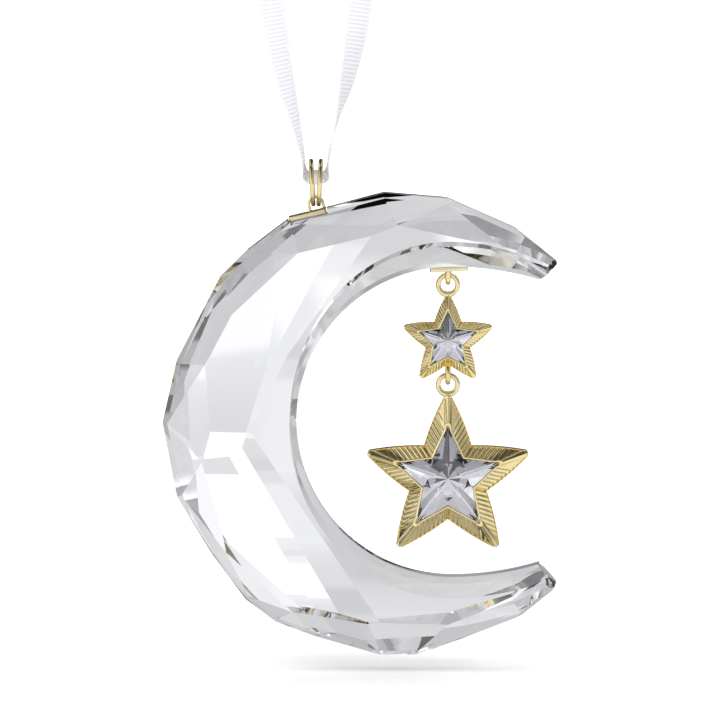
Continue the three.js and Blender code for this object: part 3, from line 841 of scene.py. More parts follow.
def combine(piece, other, operation):
    """Adds the other piece ("UNION") or cuts its shape away ("DIFFERENCE")."""
    face_outwards(other)
    add_modifier(piece, "BOOLEAN", operation=operation, object=other, solver="EXACT")
    apply_modifiers(piece)
    bpy.data.objects.remove(other)


combine(crystal, opening_cutter(), "DIFFERENCE")
print("opening cut:", len(crystal.data.polygons), "faces")


# %% [markdown]
# The sharp corner of each horn is cut off, and two small seats are ground flat
# where the metal plates are bonded on.

# %% Horn tips and plate seats
TIP_CUTS = [(1, 24.4, 0.0, 3.1, 2.8), (-1, 24.4, 0.45, 3.1, 2.9)]  # side, start, depth, run, rise
PLATE_LENGTH, PLATE_DEPTH, PLATE_THICKNESS = 6.4, 4.0, 0.8
SEAT_MARGIN = 0.15
SEAT_CUT = 7.5
BOND = 0.1
TOP_PLATE_AT, TOP_PLATE_TILT = Vector((-1.47, 0.0, -70.13)), math.radians(13.5)
HORN_PLATE_AT, HORN_PLATE_TILT = Vector((22.12, 0.0, -79.136)), math.radians(2.9)


def tip_cutter(side, start, depth, run, rise):
    wall = BOW_RADIUS - HORN_RADIUS + math.sqrt(HORN_RADIUS**2 - (start - BOW.x) ** 2) + depth
    corners = [(start, wall), (start + run, wall + rise), (start + 2 * run, wall + rise),
               (start + 2 * run, 0), (start, 0)]
    points = [crescent_point(x, y, BOW.y + side * up)
              for y in (-CRESCENT_THICKNESS, CRESCENT_THICKNESS) for x, up in corners]
    sides = [(k, (k + 1) % 5, 5 + (k + 1) % 5, 5 + k) for k in range(5)]
    return mesh_piece("tip_cutter", points, sides + [tuple(range(5)), tuple(range(5, 10))])


def seat_cutter(place, tilt, width, up):
    """A block whose one face lies under the bond of a plate."""
    turns = Euler((0, -tilt, 0))
    centre = place + turns.to_matrix() @ Vector((0, 0, up))
    return block("seat_cutter", (PLATE_LENGTH + 2 * SEAT_MARGIN, width, SEAT_CUT), centre, turns)


for cut in TIP_CUTS:
    combine(crystal, tip_cutter(*cut), "DIFFERENCE")
top_up, horn_up = SEAT_CUT / 2 - PLATE_THICKNESS - BOND, BOND - SEAT_CUT / 2
for cutter in (
    seat_cutter(TOP_PLATE_AT, TOP_PLATE_TILT, 2 * CRESCENT_THICKNESS, top_up),
    seat_cutter(HORN_PLATE_AT, HORN_PLATE_TILT, PLATE_DEPTH + 2 * SEAT_MARGIN, horn_up),
):
    combine(crystal, cutter, "DIFFERENCE")
print("crescent:", len(crystal.data.polygons), "faces")


# %% [markdown]
# A ground edge is never left sharp. The ends of the horns are touched most, so the
# long edges there get a wide round first. Then every edge of more than a slight
# turn gets a narrow polished one, which shows as a thin dark line in the glass.

# %% Crescent edges
TIP_ROUND, EDGE_POLISH = 0.9, 0.13
HORN_END_X = 36.5
THROUGH_LENGTH, THROUGH_LEAN = 3, 1.5  # an edge through the glass: longer, and leans less


def pick(piece, kind, wanted):
    """Opens the piece for editing with only the wanted corners, edges or faces selected."""
    open_all(piece)
    bpy.ops.mesh.select_mode(type=kind)
    bpy.ops.mesh.select_all(action="DESELECT")
    close()
    mesh = piece.data
    for part in {"VERT": mesh.vertices, "EDGE": mesh.edges, "FACE": mesh.polygons}[kind]:
        part.select = wanted(part)
    bpy.ops.object.mode_set(mode="EDIT")


def at_tip(edge):
    """True for the long edges that run through the glass at the end of a horn."""
    a, b = (crystal.data.vertices[k].co / MM for k in edge.vertices)
    through = abs(a.y - b.y) > THROUGH_LENGTH and abs(a.x - b.x) < THROUGH_LEAN
    return through and min(a.x, b.x) > HORN_END_X


pick(crystal, "EDGE", at_tip)
bpy.ops.mesh.bevel(offset=TIP_ROUND * MM, segments=4, affect="EDGES", clamp_overlap=True)
close()
add_modifier(crystal, "BEVEL", width=EDGE_POLISH * MM, segments=2, limit_method="ANGLE",
             angle_limit=math.radians(24), use_clamp_overlap=True)
apply_modifiers(crystal)
only(crystal)
bpy.ops.object.shade_smooth_by_angle(angle=math.radians(4))
print("with its edges polished:", len(crystal.data.polygons), "faces")


# %% [markdown]
# Lead-free crystal glass: clear, with a higher refractive index than window
# glass. Nothing in it is painted. Its light and dark patches are what each facet
# turns towards the eye, so the faceting and the room do all of the work.

# %% Crystal finish
def make_crystal_finish(name, clear, shade, index):
    """Polished glass: a faint cloud in the body and the trace of the polishing felt."""
    material, recipe, shader = new_finish(name, IOR=index, Transmission_Weight=1.0)
    place = recipe.node("ShaderNodeTexCoord", output="Object")
    cloud = recipe.noise(place, 45.0, 2.0)
    felt = recipe.noise(place, 900.0, 3.0)
    colour = recipe.blend(cloud.step(0.3, 0.7), clear, shade)
    recipe.set(shader, Base_Color=colour, Roughness=0.012 * felt.step(0.5, 0.8),
               Normal=recipe.bump(cloud, 0.02 * MM, 0.25))
    return material


clear_crystal = make_crystal_finish(
    "clear_crystal", rgb(0.99, 0.99, 1.0), rgb(0.965, 0.97, 0.99), 1.54
)
dress(crystal, "moon", "crystal_moon", "crystal", clear_crystal)


# %% [markdown]
# The stars are cast. Both follow one pattern, so one half of an arm is modelled,
# mirrored into an arm, and the arm is copied round. The half is a net of points:
# its columns run from the notch to the tip, and its rows from the middle of the
# back, over the edge, up the fluted slope, over the bezel and down into the bed
# of the stone.

# %% Star patterns
STAR_X = 21.98
LARGE_STAR = {
    "name": "large", "z": -114.65, "loop_z": -98.96, "outer": 14.07, "notch": 6.78, "tip": 0.7,
    "back": 0.8, "edge": 0.7, "rim": 2.3, "stone": 8.8, "stone_notch": 4.25, "bezel": 0.4,
    "bed": 0.35, "stone_back": 0.1, "crown": 0.8, "pitch": 0.86, "depth": 0.17, "sunk": 0.34,
}
SMALL_STAR = {
    "name": "small", "z": -91.57, "loop_z": -82.25, "outer": 7.7, "notch": 3.87, "tip": 0.5,
    "back": 0.6, "edge": 0.5, "rim": 1.5, "stone": 4.83, "stone_notch": 2.45, "bezel": 0.3,
    "bed": 0.25, "stone_back": 0.03, "crown": 0.55, "pitch": 0.56, "depth": 0.10, "sunk": 0.19,
}
FIFTH = 2 * math.pi / 5
OUTLINE_BOW = 0.016
STONE_GAP = 0.08
TIP_GROWTH = 1.9  # a tip moves out this much further than a notch when a star grows


def notch_point(radius):
    return Vector((radius * math.sin(FIFTH / 2), radius * math.cos(FIFTH / 2)))


def star_line(tip, notch, width, neck, place, turn, bow=0.0):
    """A point on a star outline: place runs up the side, turn rounds the tip."""
    low, high = notch_point(notch), Vector((width, tip - neck))
    if turn > 0:
        swing = turn * math.pi / 2
        return Vector((width * math.cos(swing), high.y + neck * math.sin(swing)))
    side = high - low
    out = Vector((side.y, -side.x)).normalized()
    return low + side * place + out * (bow * 4 * place * (1 - place))


def star_lines(star, place, turn):
    """A place on the outline, on the foot of the bezel and on the bore for the stone."""
    tip, notch, width = star["stone"], star["stone_notch"], star["tip"]
    outer, gap, grow = star["outer"], STONE_GAP, star["bezel"] + STONE_GAP
    return (
        star_line(outer, star["notch"], width, width * 0.75, place, turn, OUTLINE_BOW * outer),
        star_line(tip + grow * TIP_GROWTH, notch + grow, width * 0.85, width * 1.7, place, turn),
        star_line(tip + gap * TIP_GROWTH, notch + gap, width * 0.45, width, place, turn),
    )


for star in (LARGE_STAR, SMALL_STAR):
    print(star["name"], "star:", star["outer"], "mm from its middle to a tip")


# %% [markdown]
# The flutes are fine grooves that fan out from each notch towards the tip. Down
# the middle of each arm a narrow roof of two plain faces runs out to the tip.

# %% The flutes
SLOPE_STEPS = 13
FLUTE_SLANT, FLUTE_FAN = 0.62, 0.35
PLAIN_FROM, FADE = 0.9, 0.4  # where the roof at the tip begins, and how softly


def flute_depth(star, at):
    """How deep the groove is at a place on the slope."""
    width, start = star["tip"], notch_point(star["notch"])
    edge = (Vector((width, star["outer"] - width * 0.75)) - start).normalized()
    inward = Vector((-edge.y, edge.x))
    reach = (Vector((width, star["outer"])) - start).length
    along = (at - start).dot(edge)
    from_edge = (at - start).dot(inward)
    slant = FLUTE_SLANT + FLUTE_FAN * along / reach
    phase = (along + slant * from_edge) / star["pitch"]
    flute = 0.5 + 0.5 * math.cos(2 * math.pi * phase)
    fade = max(0.0, min(1.0, (PLAIN_FROM - phase * star["pitch"] / reach) / FADE))
    return star["depth"] * flute * fade


def slope_rows(star, outline, rim, turn):
    """The fluted slope, from the edge up to the bezel, as (place, depth)."""
    on_roof = 1 - math.cos(turn * math.pi / 2)
    sunk = star["sunk"] * (1 - on_roof) - 0.08 * star["sunk"] * on_roof
    rows = []
    for across in [0.03] + [0.08 + 0.92 * i / SLOPE_STEPS for i in range(SLOPE_STEPS + 1)]:
        at = outline.lerp(rim, across)
        depth = flute_depth(star, at) if turn == 0 else 0.0
        rise = star["edge"] + (star["rim"] - star["edge"]) * across
        rows.append((at, (sunk + depth) * min(1.0, across / 0.08) - rise))
    return rows


print("flutes:", LARGE_STAR["pitch"], "mm apart on the large star")


# %% [markdown]
# A casting has no seams, so the slope, the bezel and the bed of the stone are one
# surface here too. Cut with Booleans they would leave edges to mend, so each point
# of a column is written out instead. The columns that round the tip have no flutes.

# %% Half of one arm
ARM_STEPS, TIP_STEPS = 84, 5


def arm_column(star, place, turn):
    outline, rim, bore = star_lines(star, place, turn)
    back, edge, crest, bed = star["back"], star["edge"], star["rim"], star["bed"]
    return [
        (outline * 0.0, back), (outline * 0.5, back), (outline * 0.965, back),
        (outline * 0.992, back - 0.06), (outline, back - 0.22), (outline, 0.22 - edge),
        *slope_rows(star, outline, rim, turn),
        (rim, 0.1 - crest), (rim.lerp(bore, 0.12), 0.02 - crest),
        (rim.lerp(bore, 0.45), -crest - 0.01), (rim.lerp(bore, 0.85), 0.02 - crest),
        (bore, 0.12 - crest), (bore, bed), (bore * 0.0, bed),
    ]


def half_arm(star):
    places = [(i / ARM_STEPS, 0.0) for i in range(ARM_STEPS + 1)]
    places += [(1.0, i / TIP_STEPS) for i in range(1, TIP_STEPS + 1)]
    return [arm_column(star, place, turn) for place, turn in places]


print("points in a column:", len(arm_column(LARGE_STAR, 0.0, 0.0)))


# %% [markdown]
# The net becomes a sheet of quads. A Mirror modifier makes the whole arm, which is
# copied round in five turns and joined. The corners that meet at the seams are
# then merged, so that the star is one closed solid.

# %% A whole star
def net_piece(name, net):
    """A sheet of quads over a net: columns of places in the star's plane, with depths."""
    rows = len(net[0])
    corners = [Vector((at.x, depth, at.y)) * MM for column in net for at, depth in column]
    faces = [(i * rows + k, i * rows + k + 1, (i + 1) * rows + k + 1, (i + 1) * rows + k)
             for i in range(len(net) - 1) for k in range(rows - 1)]
    return mesh_piece(name, corners, faces)


def whole_star(name, net):
    """Mirrors a half arm, copies the arm round and joins the five."""
    arm = net_piece(name, net)
    only(arm)
    add_modifier(arm, "MIRROR", use_axis=(True, False, False), merge_threshold=2e-6)
    apply_modifiers(arm)
    arms = [arm]
    for turn in range(1, 5):
        only(arm)
        bpy.ops.object.duplicate()
        arms.append(bpy.context.object)
        place_piece(arms[-1], (0, 0, 0), (0, FIFTH * turn, 0))
    join(arms)
    open_all(arm)
    bpy.ops.mesh.remove_doubles(threshold=4e-6)
    bpy.ops.mesh.dissolve_degenerate(threshold=1e-7)
    face_outwards(arm)
    return arm


print("helpers ready: net_piece, whole_star")


# %% [markdown]
# Each star is cast in one with its loop. The loop's wire swells where it runs
# into the tip, as cast metal does, and a Boolean union makes them one piece.

# %% Cast loops
LOOP_RADIUS, LOOP_WIRE = 1.62, 0.82
LOWER_EYE_RADIUS, EYE_WIRE = 1.43, 0.9
LOWER_EYE_Z = -97.12
FOOT_FROM, FOOT_SWELL = 0.55, 0.28


def wire_circle(name, radius, wire, segments, sides, turns):
    """A closed circle of round wire about the middle of the scene."""
    deselect_all()
    bpy.ops.mesh.primitive_torus_add(
        major_radius=radius * MM, minor_radius=wire / 2 * MM, major_segments=segments,
        minor_segments=sides, rotation=turns,
    )
    circle = named(name)
    settle(circle)
    return circle


def cast_loop(radius, wire, place, turn, foot):
    """A ring whose wire is thicker towards its foot, the side that joins the star."""
    loop = wire_circle("cast_loop", radius, wire, 56, 16, (math.pi / 2, 0, 0))
    for vertex in loop.data.vertices:
        spot = vertex.co
        angle = math.atan2(spot.z * foot, spot.x)
        near = max(0.0, math.sin(angle) - FOOT_FROM) / (1 - FOOT_FROM)
        middle = Vector((math.cos(angle) * radius, 0, math.sin(angle) * radius * foot)) * MM
        vertex.co = middle + (spot - middle) * (1 + FOOT_SWELL * near * near)
    place_piece(loop, place, (0, 0, turn))
    return loop


def star_setting(star):
    setting = whole_star(star["name"] + "_star_casting", half_arm(star))
    place_piece(setting, (STAR_X, 0, star["z"]))
    loop = cast_loop(LOOP_RADIUS, LOOP_WIRE, (STAR_X, 0, star["loop_z"]), 0, -1)
    combine(setting, loop, "UNION")
    if star["name"] == "small":
        eye = cast_loop(LOWER_EYE_RADIUS, EYE_WIRE, (STAR_X, 0, LOWER_EYE_Z), math.pi / 2, 1)
        combine(setting, eye, "UNION")
    only(setting)
    bpy.ops.object.shade_smooth_by_angle(angle=math.radians(24))
    return setting


small_casting = star_setting(SMALL_STAR)
large_casting = star_setting(LARGE_STAR)
print("castings:", len(small_casting.data.polygons), len(large_casting.data.polygons), "faces")


# %% [markdown]
# Each stone is a star too, cut from clear crystal: a flat table in the middle,
# long facets that meet in a ridge down each arm, and a deep faceted back. A
# bright foil follows the back. The light goes in, turns round on the foil's
# facets and comes out white or dark, which gives the stones their sparkle.

# %% Stones and foils
STONE_COLUMNS = [(0.0, 0.05), (0.5, 0.09), (1.0, 0.07)]  # notch to tip, and the back's depth
FOIL_GAP, FOIL_BACK, FOIL_SIZE = 0.03, 0.10, 0.99


def stone_net(star):
    tip, notch = star["stone"], star["stone_notch"]
    rim, low, crown = star["rim"], star["stone_back"], star["crown"]
    middle, columns = Vector((0, 0)), []
    for turn, depth in STONE_COLUMNS:
        side, deep = 1 - turn, tip * depth
        width = 0.16 * tip / LARGE_STAR["stone"]
        edge = notch_point(notch) * side + Vector((width, tip * 0.985)) * turn
        if turn == 1.0:
            edge = Vector((0.0, tip))
        waist = notch_point(notch * 0.62) * side + Vector((0, tip * 0.5)) * turn
        table = notch_point(notch * 0.42) * side + Vector((0, tip * 0.27)) * turn
        columns.append([
            (middle, low), (waist * 0.92, low - deep * 0.4), (edge, low - deep),
            (edge, -rim - 0.02), (waist, -rim - crown * (0.6 + 0.1 * turn)),
            (table, -rim - crown), (middle, -rim - crown),
        ])
    return columns


def foil_net(star):
    """A thin tray that follows the back of the stone."""
    net = []
    for column in stone_net(star):
        front = [(at * FOIL_SIZE, depth + FOIL_GAP) for at, depth in column[:3]]
        back = [(at * FOIL_SIZE, depth + FOIL_BACK) for at, depth in column[:3]]
        net.append(front + back[::-1])
    return net


def star_stone(star):
    stone = whole_star(star["name"] + "_star_stone", stone_net(star))
    backing = whole_star(star["name"] + "_star_backing", foil_net(star))
    for piece in (stone, backing):
        place_piece(piece, (STAR_X, 0, star["z"]))
        bpy.ops.object.shade_flat()
    return stone, backing


small_stone, small_backing = star_stone(SMALL_STAR)
large_stone, large_backing = star_stone(LARGE_STAR)
print("stones:", len(small_stone.data.polygons), len(large_stone.data.polygons), "faces")


# %% [markdown]
# Two rings join the ribbon to the crescent. Each is a turn of round wire, soldered
# shut at the back. A torus has the shape already, and the small bead of solder is
# made by moving the corners near it outwards. The two lean apart at the top.

# %% Hanging rings
RING_RADIUS, RING_WIRE = 3.6, 0.8
RING_LOW_Z = -68.8
RING_STEP, RING_LEAN = 0.45, math.radians(3)
BEAD_BELOW, BEAD_REACH, BEAD_SWELL = 2.2, 0.22, 0.16


def hanging_ring(name, side):
    ring = wire_circle(name, RING_RADIUS, RING_WIRE, 112, 20, (0, math.pi / 2, 0))
    for vertex in ring.data.vertices:
        spot = vertex.co
        angle = math.atan2(spot.z + BEAD_BELOW * MM, spot.y)
        bead = max(0.0, 1 - abs(angle) / BEAD_REACH) if spot.y > 0 else 0.0
        middle = Vector((0, spot.y, spot.z)).normalized() * RING_RADIUS * MM
        vertex.co = middle + (spot - middle) * (1 + BEAD_SWELL * bead * bead)
    place_piece(ring, (0, 0, RING_RADIUS))
    place_piece(ring, (side * RING_STEP, 0, RING_LOW_Z), (0, side * RING_LEAN, 0))
    bpy.ops.object.shade_smooth()
    return ring


rings = [hanging_ring("wire_ring_left", -1), hanging_ring("wire_ring_right", 1)]
print("rings:", RING_RADIUS * 2 + RING_WIRE, "mm across")


# %% [markdown]
# Each eye is a staple: half a turn of wire with two straight legs, soldered to its
# plate. It is made from a torus whose lower half is deleted. The two open ends are
# then extruded down into legs, and each foot is spread, as solder spreads there.

# %% Wire eyes
SOLDER = 0.03
LEG_STEPS = 10
FOOT_HEIGHT, FOOT_SPREAD = 0.6, 0.55  # against the wire's thickness
HORN_EYE_Z = -80.736


def spread_feet(eye, radius, length, height):
    for vertex in eye.data.vertices:
        above = vertex.co.z / MM + length
        if above < height:
            side = math.copysign(radius, vertex.co.x) * MM
            spread = 1 + FOOT_SPREAD * (1 - above / height) ** 2
            vertex.co.x = side + (vertex.co.x - side) * spread
            vertex.co.y *= spread


def wire_eye(name, radius, wire, leg, place, turns):
    eye = wire_circle(name, radius, wire, 64, 20, (math.pi / 2, 0, 0))
    pick(eye, "VERT", lambda corner: corner.co.z < -1e-6)
    bpy.ops.mesh.delete(type="VERT")
    close()
    pick(eye, "VERT", lambda corner: corner.co.z < 1e-6)
    length = leg + SOLDER
    for _ in range(LEG_STEPS):
        bpy.ops.mesh.extrude_region_move(
            TRANSFORM_OT_translate={"value": (0, 0, -length / LEG_STEPS * MM)})
    close()
    spread_feet(eye, radius, length, wire * FOOT_HEIGHT)
    sole = (1e-3 - length) * MM
    for side in (-1, 1):
        pick(eye, "VERT", lambda corner: corner.co.z < sole and corner.co.x * side > 0)
        bpy.ops.mesh.edge_face_add()
        close()
    place_piece(eye, place, turns)
    bpy.ops.object.shade_smooth_by_angle(angle=math.radians(40))
    return eye


top_eye = wire_eye("top_eye_wire", 1.2, 0.5, 0.9, (0, 0, RING_LOW_Z), (0, -TOP_PLATE_TILT, 0))
horn_eye = wire_eye("horn_eye_wire", 1.1, EYE_WIRE, 0.75, (STAR_X, 0, HORN_EYE_Z),
                    (math.pi, 0, math.pi / 2))
print("eyes:", len(top_eye.data.polygons), len(horn_eye.data.polygons), "faces")


# %% [markdown]
# The plates are cut from thin sheet, with their corners rounded and every edge
# broken so that it catches the light. A cube is scaled to the sheet. Its upright
# edges are bevelled first, and then the edges of its two faces, more finely.

# %% Plates
CORNER_RADIUS, EDGE_ROUND = 0.4, 0.09


def cut_plate(name, place, tilt):
    plate = block(name, (PLATE_LENGTH, PLATE_DEPTH, PLATE_THICKNESS), (0, 0, -PLATE_THICKNESS / 2))
    points = plate.data.vertices

    def upright(edge):
        a, b = (points[k].co for k in edge.vertices)
        return abs(a.z - b.z) > 0.1 * MM

    pick(plate, "EDGE", upright)
    bpy.ops.mesh.bevel(offset=CORNER_RADIUS * MM, segments=5, affect="EDGES")
    close()
    pick(plate, "FACE", lambda face: abs(face.normal.z) > 0.9)
    bpy.ops.mesh.region_to_loop()
    bpy.ops.mesh.bevel(offset=EDGE_ROUND * MM, segments=3, affect="EDGES")
    close()
    place_piece(plate, place, (0, -tilt, 0))
    bpy.ops.object.shade_smooth_by_angle(angle=math.radians(35))
    return plate


top_plate = cut_plate("top_mounting_plate", TOP_PLATE_AT, TOP_PLATE_TILT)
horn_plate = cut_plate("horn_mounting_plate", HORN_PLATE_AT, HORN_PLATE_TILT)
print("plates:", len(top_plate.data.polygons), "faces each")


# %% [markdown]
# Metal. The castings, rings and eyes are polished and then plated in pale gold.
# The plates are brushed along their length, so their grain is a noise stretched
# one way. The foil behind the stones is silvered and a little crinkled. In each,
# the same noise moves the roughness and the colour slightly.

# %% Metal finishes
def make_metal(name, colour, worn, smooth, rough, grain, height):
    """Metal with a grain: grain is the number of marks to a metre along x, y and z."""
    material, recipe, shader = new_finish(name, Metallic=1.0)
    place = recipe.node("ShaderNodeTexCoord", output="Object")
    marks = recipe.node("ShaderNodeVectorMath", {"operation": "MULTIPLY"}, {0: place, 1: grain})
    lines, patches = recipe.noise(marks, 1.0, 4.0), recipe.noise(place, 260.0, 2.0)
    wear = (lines * 0.5 + patches * 0.5).step(0.35, 0.65)
    recipe.set(shader, Base_Color=recipe.blend(wear, colour, worn),
               Roughness=smooth + wear * (rough - smooth),
               Normal=recipe.bump(lines, height, 0.4))
    return material


gold = make_metal("bright_gold", rgb(0.85, 0.73, 0.40), rgb(0.79, 0.65, 0.32), 0.07, 0.13,
                  (2500, 2500, 2500), 2e-6)
satin = make_metal("satin_gold", rgb(0.85, 0.76, 0.50), rgb(0.79, 0.69, 0.43), 0.22, 0.34,
                   (300, 9000, 9000), 6e-6)
foil = make_metal("foil", rgb(0.94, 0.94, 0.96), rgb(0.9, 0.9, 0.93), 0.02, 0.05,
                  (1200, 1200, 1200), 1e-6)
star_crystal = make_crystal_finish(
    "star_crystal", rgb(0.985, 0.98, 1.0), rgb(0.96, 0.955, 0.985), 1.56
)
print("finishes:", ", ".join(finish.name for finish in (gold, satin, foil, star_crystal)))


# %% [markdown]
# Now each piece gets its finish.

# %% Finish and place
PIECES = [  # the piece, its body, what it stands for, its slot and its finish
    (rings[0], "hanging_rings", "hanging_ring_left", "gold", gold),
    (rings[1], "hanging_rings", "hanging_ring_right", "gold", gold),
    (top_eye, "moon", "top_eye", "gold", gold),
    (horn_eye, "moon", "horn_eye", "gold", gold),
    (top_plate, "moon", "top_plate", "satin_gold", satin),
    (horn_plate, "moon", "horn_plate", "satin_gold", satin),
    (small_casting, "small_star", "small_star_setting", "gold", gold),
    (large_casting, "large_star", "large_star_setting", "gold", gold),
    (small_stone, "small_star", "small_star_crystal", "star_stone", star_crystal),
    (large_stone, "large_star", "large_star_crystal", "star_stone", star_crystal),
    (small_backing, "small_star", "small_star_foil", "foil", foil),
    (large_backing, "large_star", "large_star_foil", "foil", foil),
]
for row in PIECES:
    dress(*row)


# %% [markdown]
# The room. Glass shows what stands behind it, bent a little, so each facet takes
# its tone from one direction. A photographer hangs tall white panels with darker
# gaps between them, which gives neighbouring facets different greys. Each list
# here is one set of strips. Some belong to the world, and two to the floor.

# %% Strips of light
SIDE_STRIPS = [  # 0 straight behind the crescent, 1 straight to its side; then the tone
    (0.0, 1.0), (0.29, 1.0), (0.31, 0.8), (0.4, 0.78), (0.41, 0.72), (0.43, 0.72), (0.44, 0.84),
    (0.485, 0.8), (0.488, 1.1), (0.52, 1.1), (0.55, 0.5), (0.62, 0.4), (0.65, 1.0), (0.8, 1.0),
    (0.83, 0.6), (1.0, 0.5),
]
FLOOR_SIDE_STRIPS = [  # the same on the floor
    (0.0, 1.0), (0.35, 1.0), (0.38, 0.76), (0.5, 0.74), (0.54, 1.0), (0.62, 1.0), (0.65, 0.4),
    (0.72, 1.0), (0.8, 1.0), (0.83, 0.3), (1.0, 0.22),
]
HEIGHT_STRIPS = [  # 0 level, 1 straight up; then the tone
    (0.0, 1.0), (0.2, 1.0), (0.24, 0.85), (0.34, 0.9), (0.352, 0.72), (0.37, 0.72), (0.385, 0.84),
    (0.45, 0.78), (0.5, 0.68), (0.6, 0.66), (0.64, 0.45), (0.74, 0.45), (0.78, 1.1), (0.86, 1.1),
    (0.9, 0.78), (0.95, 0.76), (0.97, 0.4),
]
DEPTH_STRIPS = [  # metres behind the crescent on the floor; then the tone
    (0.0, 0.62), (0.1, 0.68), (0.13, 0.62), (0.15, 0.53), (0.2, 0.53), (0.22, 0.66),
    (0.27, 0.67), (0.3, 0.72), (0.335, 0.79), (0.345, 0.98), (0.54, 0.98), (0.56, 0.84),
    (0.6, 0.82), (0.61, 0.72), (0.64, 0.72), (0.66, 0.78), (0.74, 0.8), (0.75, 1.0), (1.0, 1.0),
]
FRONT_STRIPS = [  # 0 straight down, 1 straight up, on the side of the camera; then the tone
    (0.0, 0.8), (0.3, 0.9), (0.44, 1.0), (0.505, 1.1), (0.52, 0.72), (0.6, 0.7), (0.64, 0.8),
    (0.71, 0.8), (0.75, 0.62), (0.86, 0.58), (0.88, 0.75), (0.95, 0.5), (1.0, 0.3),
]


def strip_tone(recipe, place, strips):
    """A colour ramp with one stop for each row of the strips."""
    stops = [(at, rgb(tone, tone, tone)) for at, tone in strips]
    return recipe.node("ShaderNodeValToRGB", {"stops": stops}, {"Fac": place})


def aside(x, y):
    """How far to the side a direction points, from 0 to 1."""
    return abs(x) / (abs(x) + y.larger(0.001))


def ray_kinds(recipe):
    """Three switches: rays from the camera, rays through glass and mirrored rays."""
    rays = recipe.node("ShaderNodeLightPath")
    through = rays["Is Transmission Ray"]
    return rays["Is Camera Ray"], through, rays["Is Glossy Ray"] * (1 - through)


print("strips to the side:", len(SIDE_STRIPS), "and upwards:", len(HEIGHT_STRIPS))


# %% [markdown]
# The world is the far wall of the room, seen through the glass and in the metal. It
# multiplies the strips to the side by the strips upwards. A grey card hangs behind
# the crescent, a bright card and a dark flag stand on the camera's side, and the
# metal mirrors a simpler sheen. A light path node sends plain white to the camera.

# %% World
STUDIO_TINT = rgb(0.982, 0.984, 1.0)
WHITE = rgb(1, 1, 1)
GREY_CARD_X, GREY_CARD_Z = (-0.34, -0.28, 0.24, 0.3), (0.12, 0.18, 0.58, 0.64)
BRIGHT_CARD_X, BRIGHT_CARD_Z = (0.5, 0.55, 0.64, 0.68), (0.3, 0.4)
DARK_FLAG_X, DARK_FLAG_Z = (0.015, 0.03, 0.1, 0.12), (0.7, 0.74)


def room_light(recipe, x, y, z):
    """What the glass sees in each direction."""
    light = strip_tone(recipe, aside(x, y), SIDE_STRIPS)
    light = light * strip_tone(recipe, z.larger(0.0), HEIGHT_STRIPS)
    patch = 0.6 + 0.17 * x.step(0.04, 0.06) + 0.23 * x.step(0.16, 0.18)
    light = light * patch.towards(1, z.step(0.15, 0.2))
    light = light * (1 - 0.22 * z.between(*GREY_CARD_Z) * x.between(*GREY_CARD_X))
    facing = strip_tone(recipe, z * 0.5 + 0.5, FRONT_STRIPS)
    facing = facing * (1 + 0.8 * x.between(*BRIGHT_CARD_X) * z.step(*BRIGHT_CARD_Z))
    facing = facing * (1 - 0.85 * (-x).between(*DARK_FLAG_X) * z.step(*DARK_FLAG_Z))
    light = light.towards(facing, (-y).step(0.0, 0.2))
    left = (-x).step(0.6, 0.7) * (1 - y.step(0.1, 0.3))
    return light.towards(1.1, left)


def metal_sheen(x, y, z):
    """What the metal mirrors: bright from the left, from the right and from the camera."""
    sheen = 0.2 + 0.9 * (-x - 0.3 * z).step(0.15, 0.5) + 0.4 * x.step(0.4, 0.7)
    sheen = sheen + 0.5 * (-y).step(0.78, 0.95) - 0.12 * z.step(0.7, 0.95)
    return sheen * (1 - 0.6 * y.step(-0.2, 0.2))


def make_world():
    world = bpy.data.worlds.new("studio")
    bpy.context.scene.world = world
    recipe = Recipe(world)
    background = recipe.nodes["Background"]
    way = recipe.node("ShaderNodeTexCoord", output="Generated")
    parts = recipe.node("ShaderNodeSeparateXYZ", {}, {"Vector": way})
    x, y, z = parts["X"], parts["Y"], parts["Z"]
    seen, _, mirrored = ray_kinds(recipe)
    light = room_light(recipe, x, y, z).towards(metal_sheen(x, y, z), mirrored)
    recipe.set(background, Color=recipe.blend(seen, STUDIO_TINT, WHITE),
               Strength=light.towards(1, seen))
    return world


print("world:", make_world().name)


# %% [markdown]
# The floor is a wide white sheet. The lower facets look down at it, so through the
# glass it shows strips too: to the side and away from the camera. In front it is
# grey, with a black card and a darker flag on it. The camera sees a pale sheet that
# takes the shadow, and a glow lifts it to the white of the far wall.

# %% Floor
FLOOR_Z = -147.0
NEAR_CARD_X, NEAR_CARD_Y = (-0.014, -0.01, 0.114, 0.118), (0.036, 0.04, 0.145, 0.15)
NEAR_FLAG_X, NEAR_FLAG_Y = (-0.075, -0.07, -0.042, -0.038), (0.03, 0.034, 0.07, 0.074)
FAR_FROM = (0.33, 0.35)


def floor_light(recipe, x, y):
    """What the glass sees of the floor."""
    tone = strip_tone(recipe, aside(x + 0.012, y + 0.06), FLOOR_SIDE_STRIPS)
    tone = tone * strip_tone(recipe, y, DEPTH_STRIPS)
    card = (-y).between(*NEAR_CARD_Y) * x.between(*NEAR_CARD_X)
    flag = (-y).between(*NEAR_FLAG_Y) * x.between(*NEAR_FLAG_X)
    tone = tone.towards(0.34 - 0.325 * card - 0.15 * flag, (-y).step(0.0, 0.008))
    far = y.step(*FAR_FROM)
    left = (1 - x.step(-0.036, -0.01)) * far
    middle = (1 - x.step(0.026, 0.034)) * far
    return tone * (1 - 0.67 * left) * (1 - (0.18 + 0.26 * y.step(0.85, 0.95)) * middle)


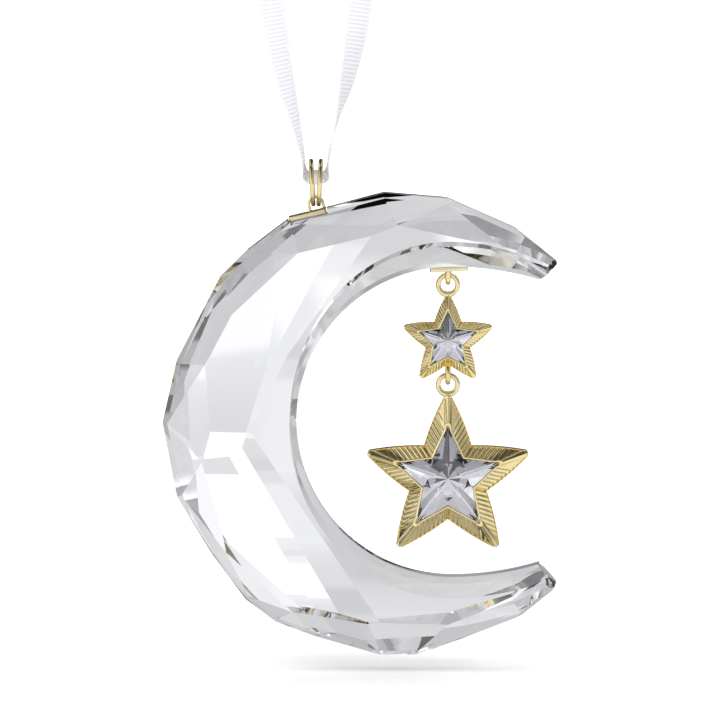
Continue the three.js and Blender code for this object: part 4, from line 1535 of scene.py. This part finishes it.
def make_floor():
    deselect_all()
    bpy.ops.mesh.primitive_plane_add(size=16, location=(0, 0, FLOOR_Z * MM))
    floor = named("floor")
    settle(floor)
    material, recipe, shader = new_finish("floor_white", Roughness=0.9)
    seen, through, mirrored = ray_kinds(recipe)
    other = through.larger(mirrored)
    place = recipe.node("ShaderNodeTexCoord", output="Object")
    spot = recipe.node("ShaderNodeSeparateXYZ", {}, {"Vector": place})
    away = recipe.node("ShaderNodeVectorMath", {"operation": "LENGTH"}, {0: place}, output="Value")
    shine = 1.0 - 0.6 * spot["Y"].step(0.0, 0.03)
    tone = floor_light(recipe, spot["X"], spot["Y"]).towards(shine, mirrored)
    pale = 0.16 + 0.28 * away.step(0.15, 1.0) + 0.5 * away.step(1.2, 6.0)
    colour = recipe.blend(other, rgb(0.8, 0.8, 0.8), rgb(0.06, 0.06, 0.06))
    recipe.set(shader, Base_Color=colour, Emission_Color=recipe.blend(seen, STUDIO_TINT, WHITE),
               Emission_Strength=seen * pale + other * tone)
    floor.data.materials.append(material)
    return floor


print("floor at", round(make_floor().data.vertices[0].co.z / MM), "mm")


# %% [markdown]
# Four large soft lamps shape the ribbon and the metal and lay a faint shadow on the
# floor. They are hidden from the glass and from mirrored rays, which see the room
# alone, and are dim enough for the white ribbon to keep its tones.

# %% Lamps
LAMPS = [  # place and size in metres, and power in watts
    ((-0.9, -1.1, 1.1), 0.9, 14.0), ((1.0, -0.9, 0.9), 0.8, 9.5), ((0.1, 0.3, 1.5), 0.8, 5.0),
    ((0.3, 1.3, 0.5), 0.9, 9.0),
]


def add_lamp(place, size, power):
    deselect_all()
    bpy.ops.object.light_add(type="AREA", location=place)
    lamp = bpy.context.object
    lamp.name = "softbox"
    lamp.data.size = size
    lamp.data.energy = power
    lamp.rotation_euler = (VIEW_CENTRE - Vector(place)).to_track_quat("-Z", "Y").to_euler()
    lamp.visible_camera = False
    lamp.visible_transmission = False
    lamp.visible_glossy = False


for lamp in LAMPS:
    add_lamp(*lamp)
bpy.context.scene.view_settings.view_transform = "Standard"
print("lamps:", len(LAMPS))
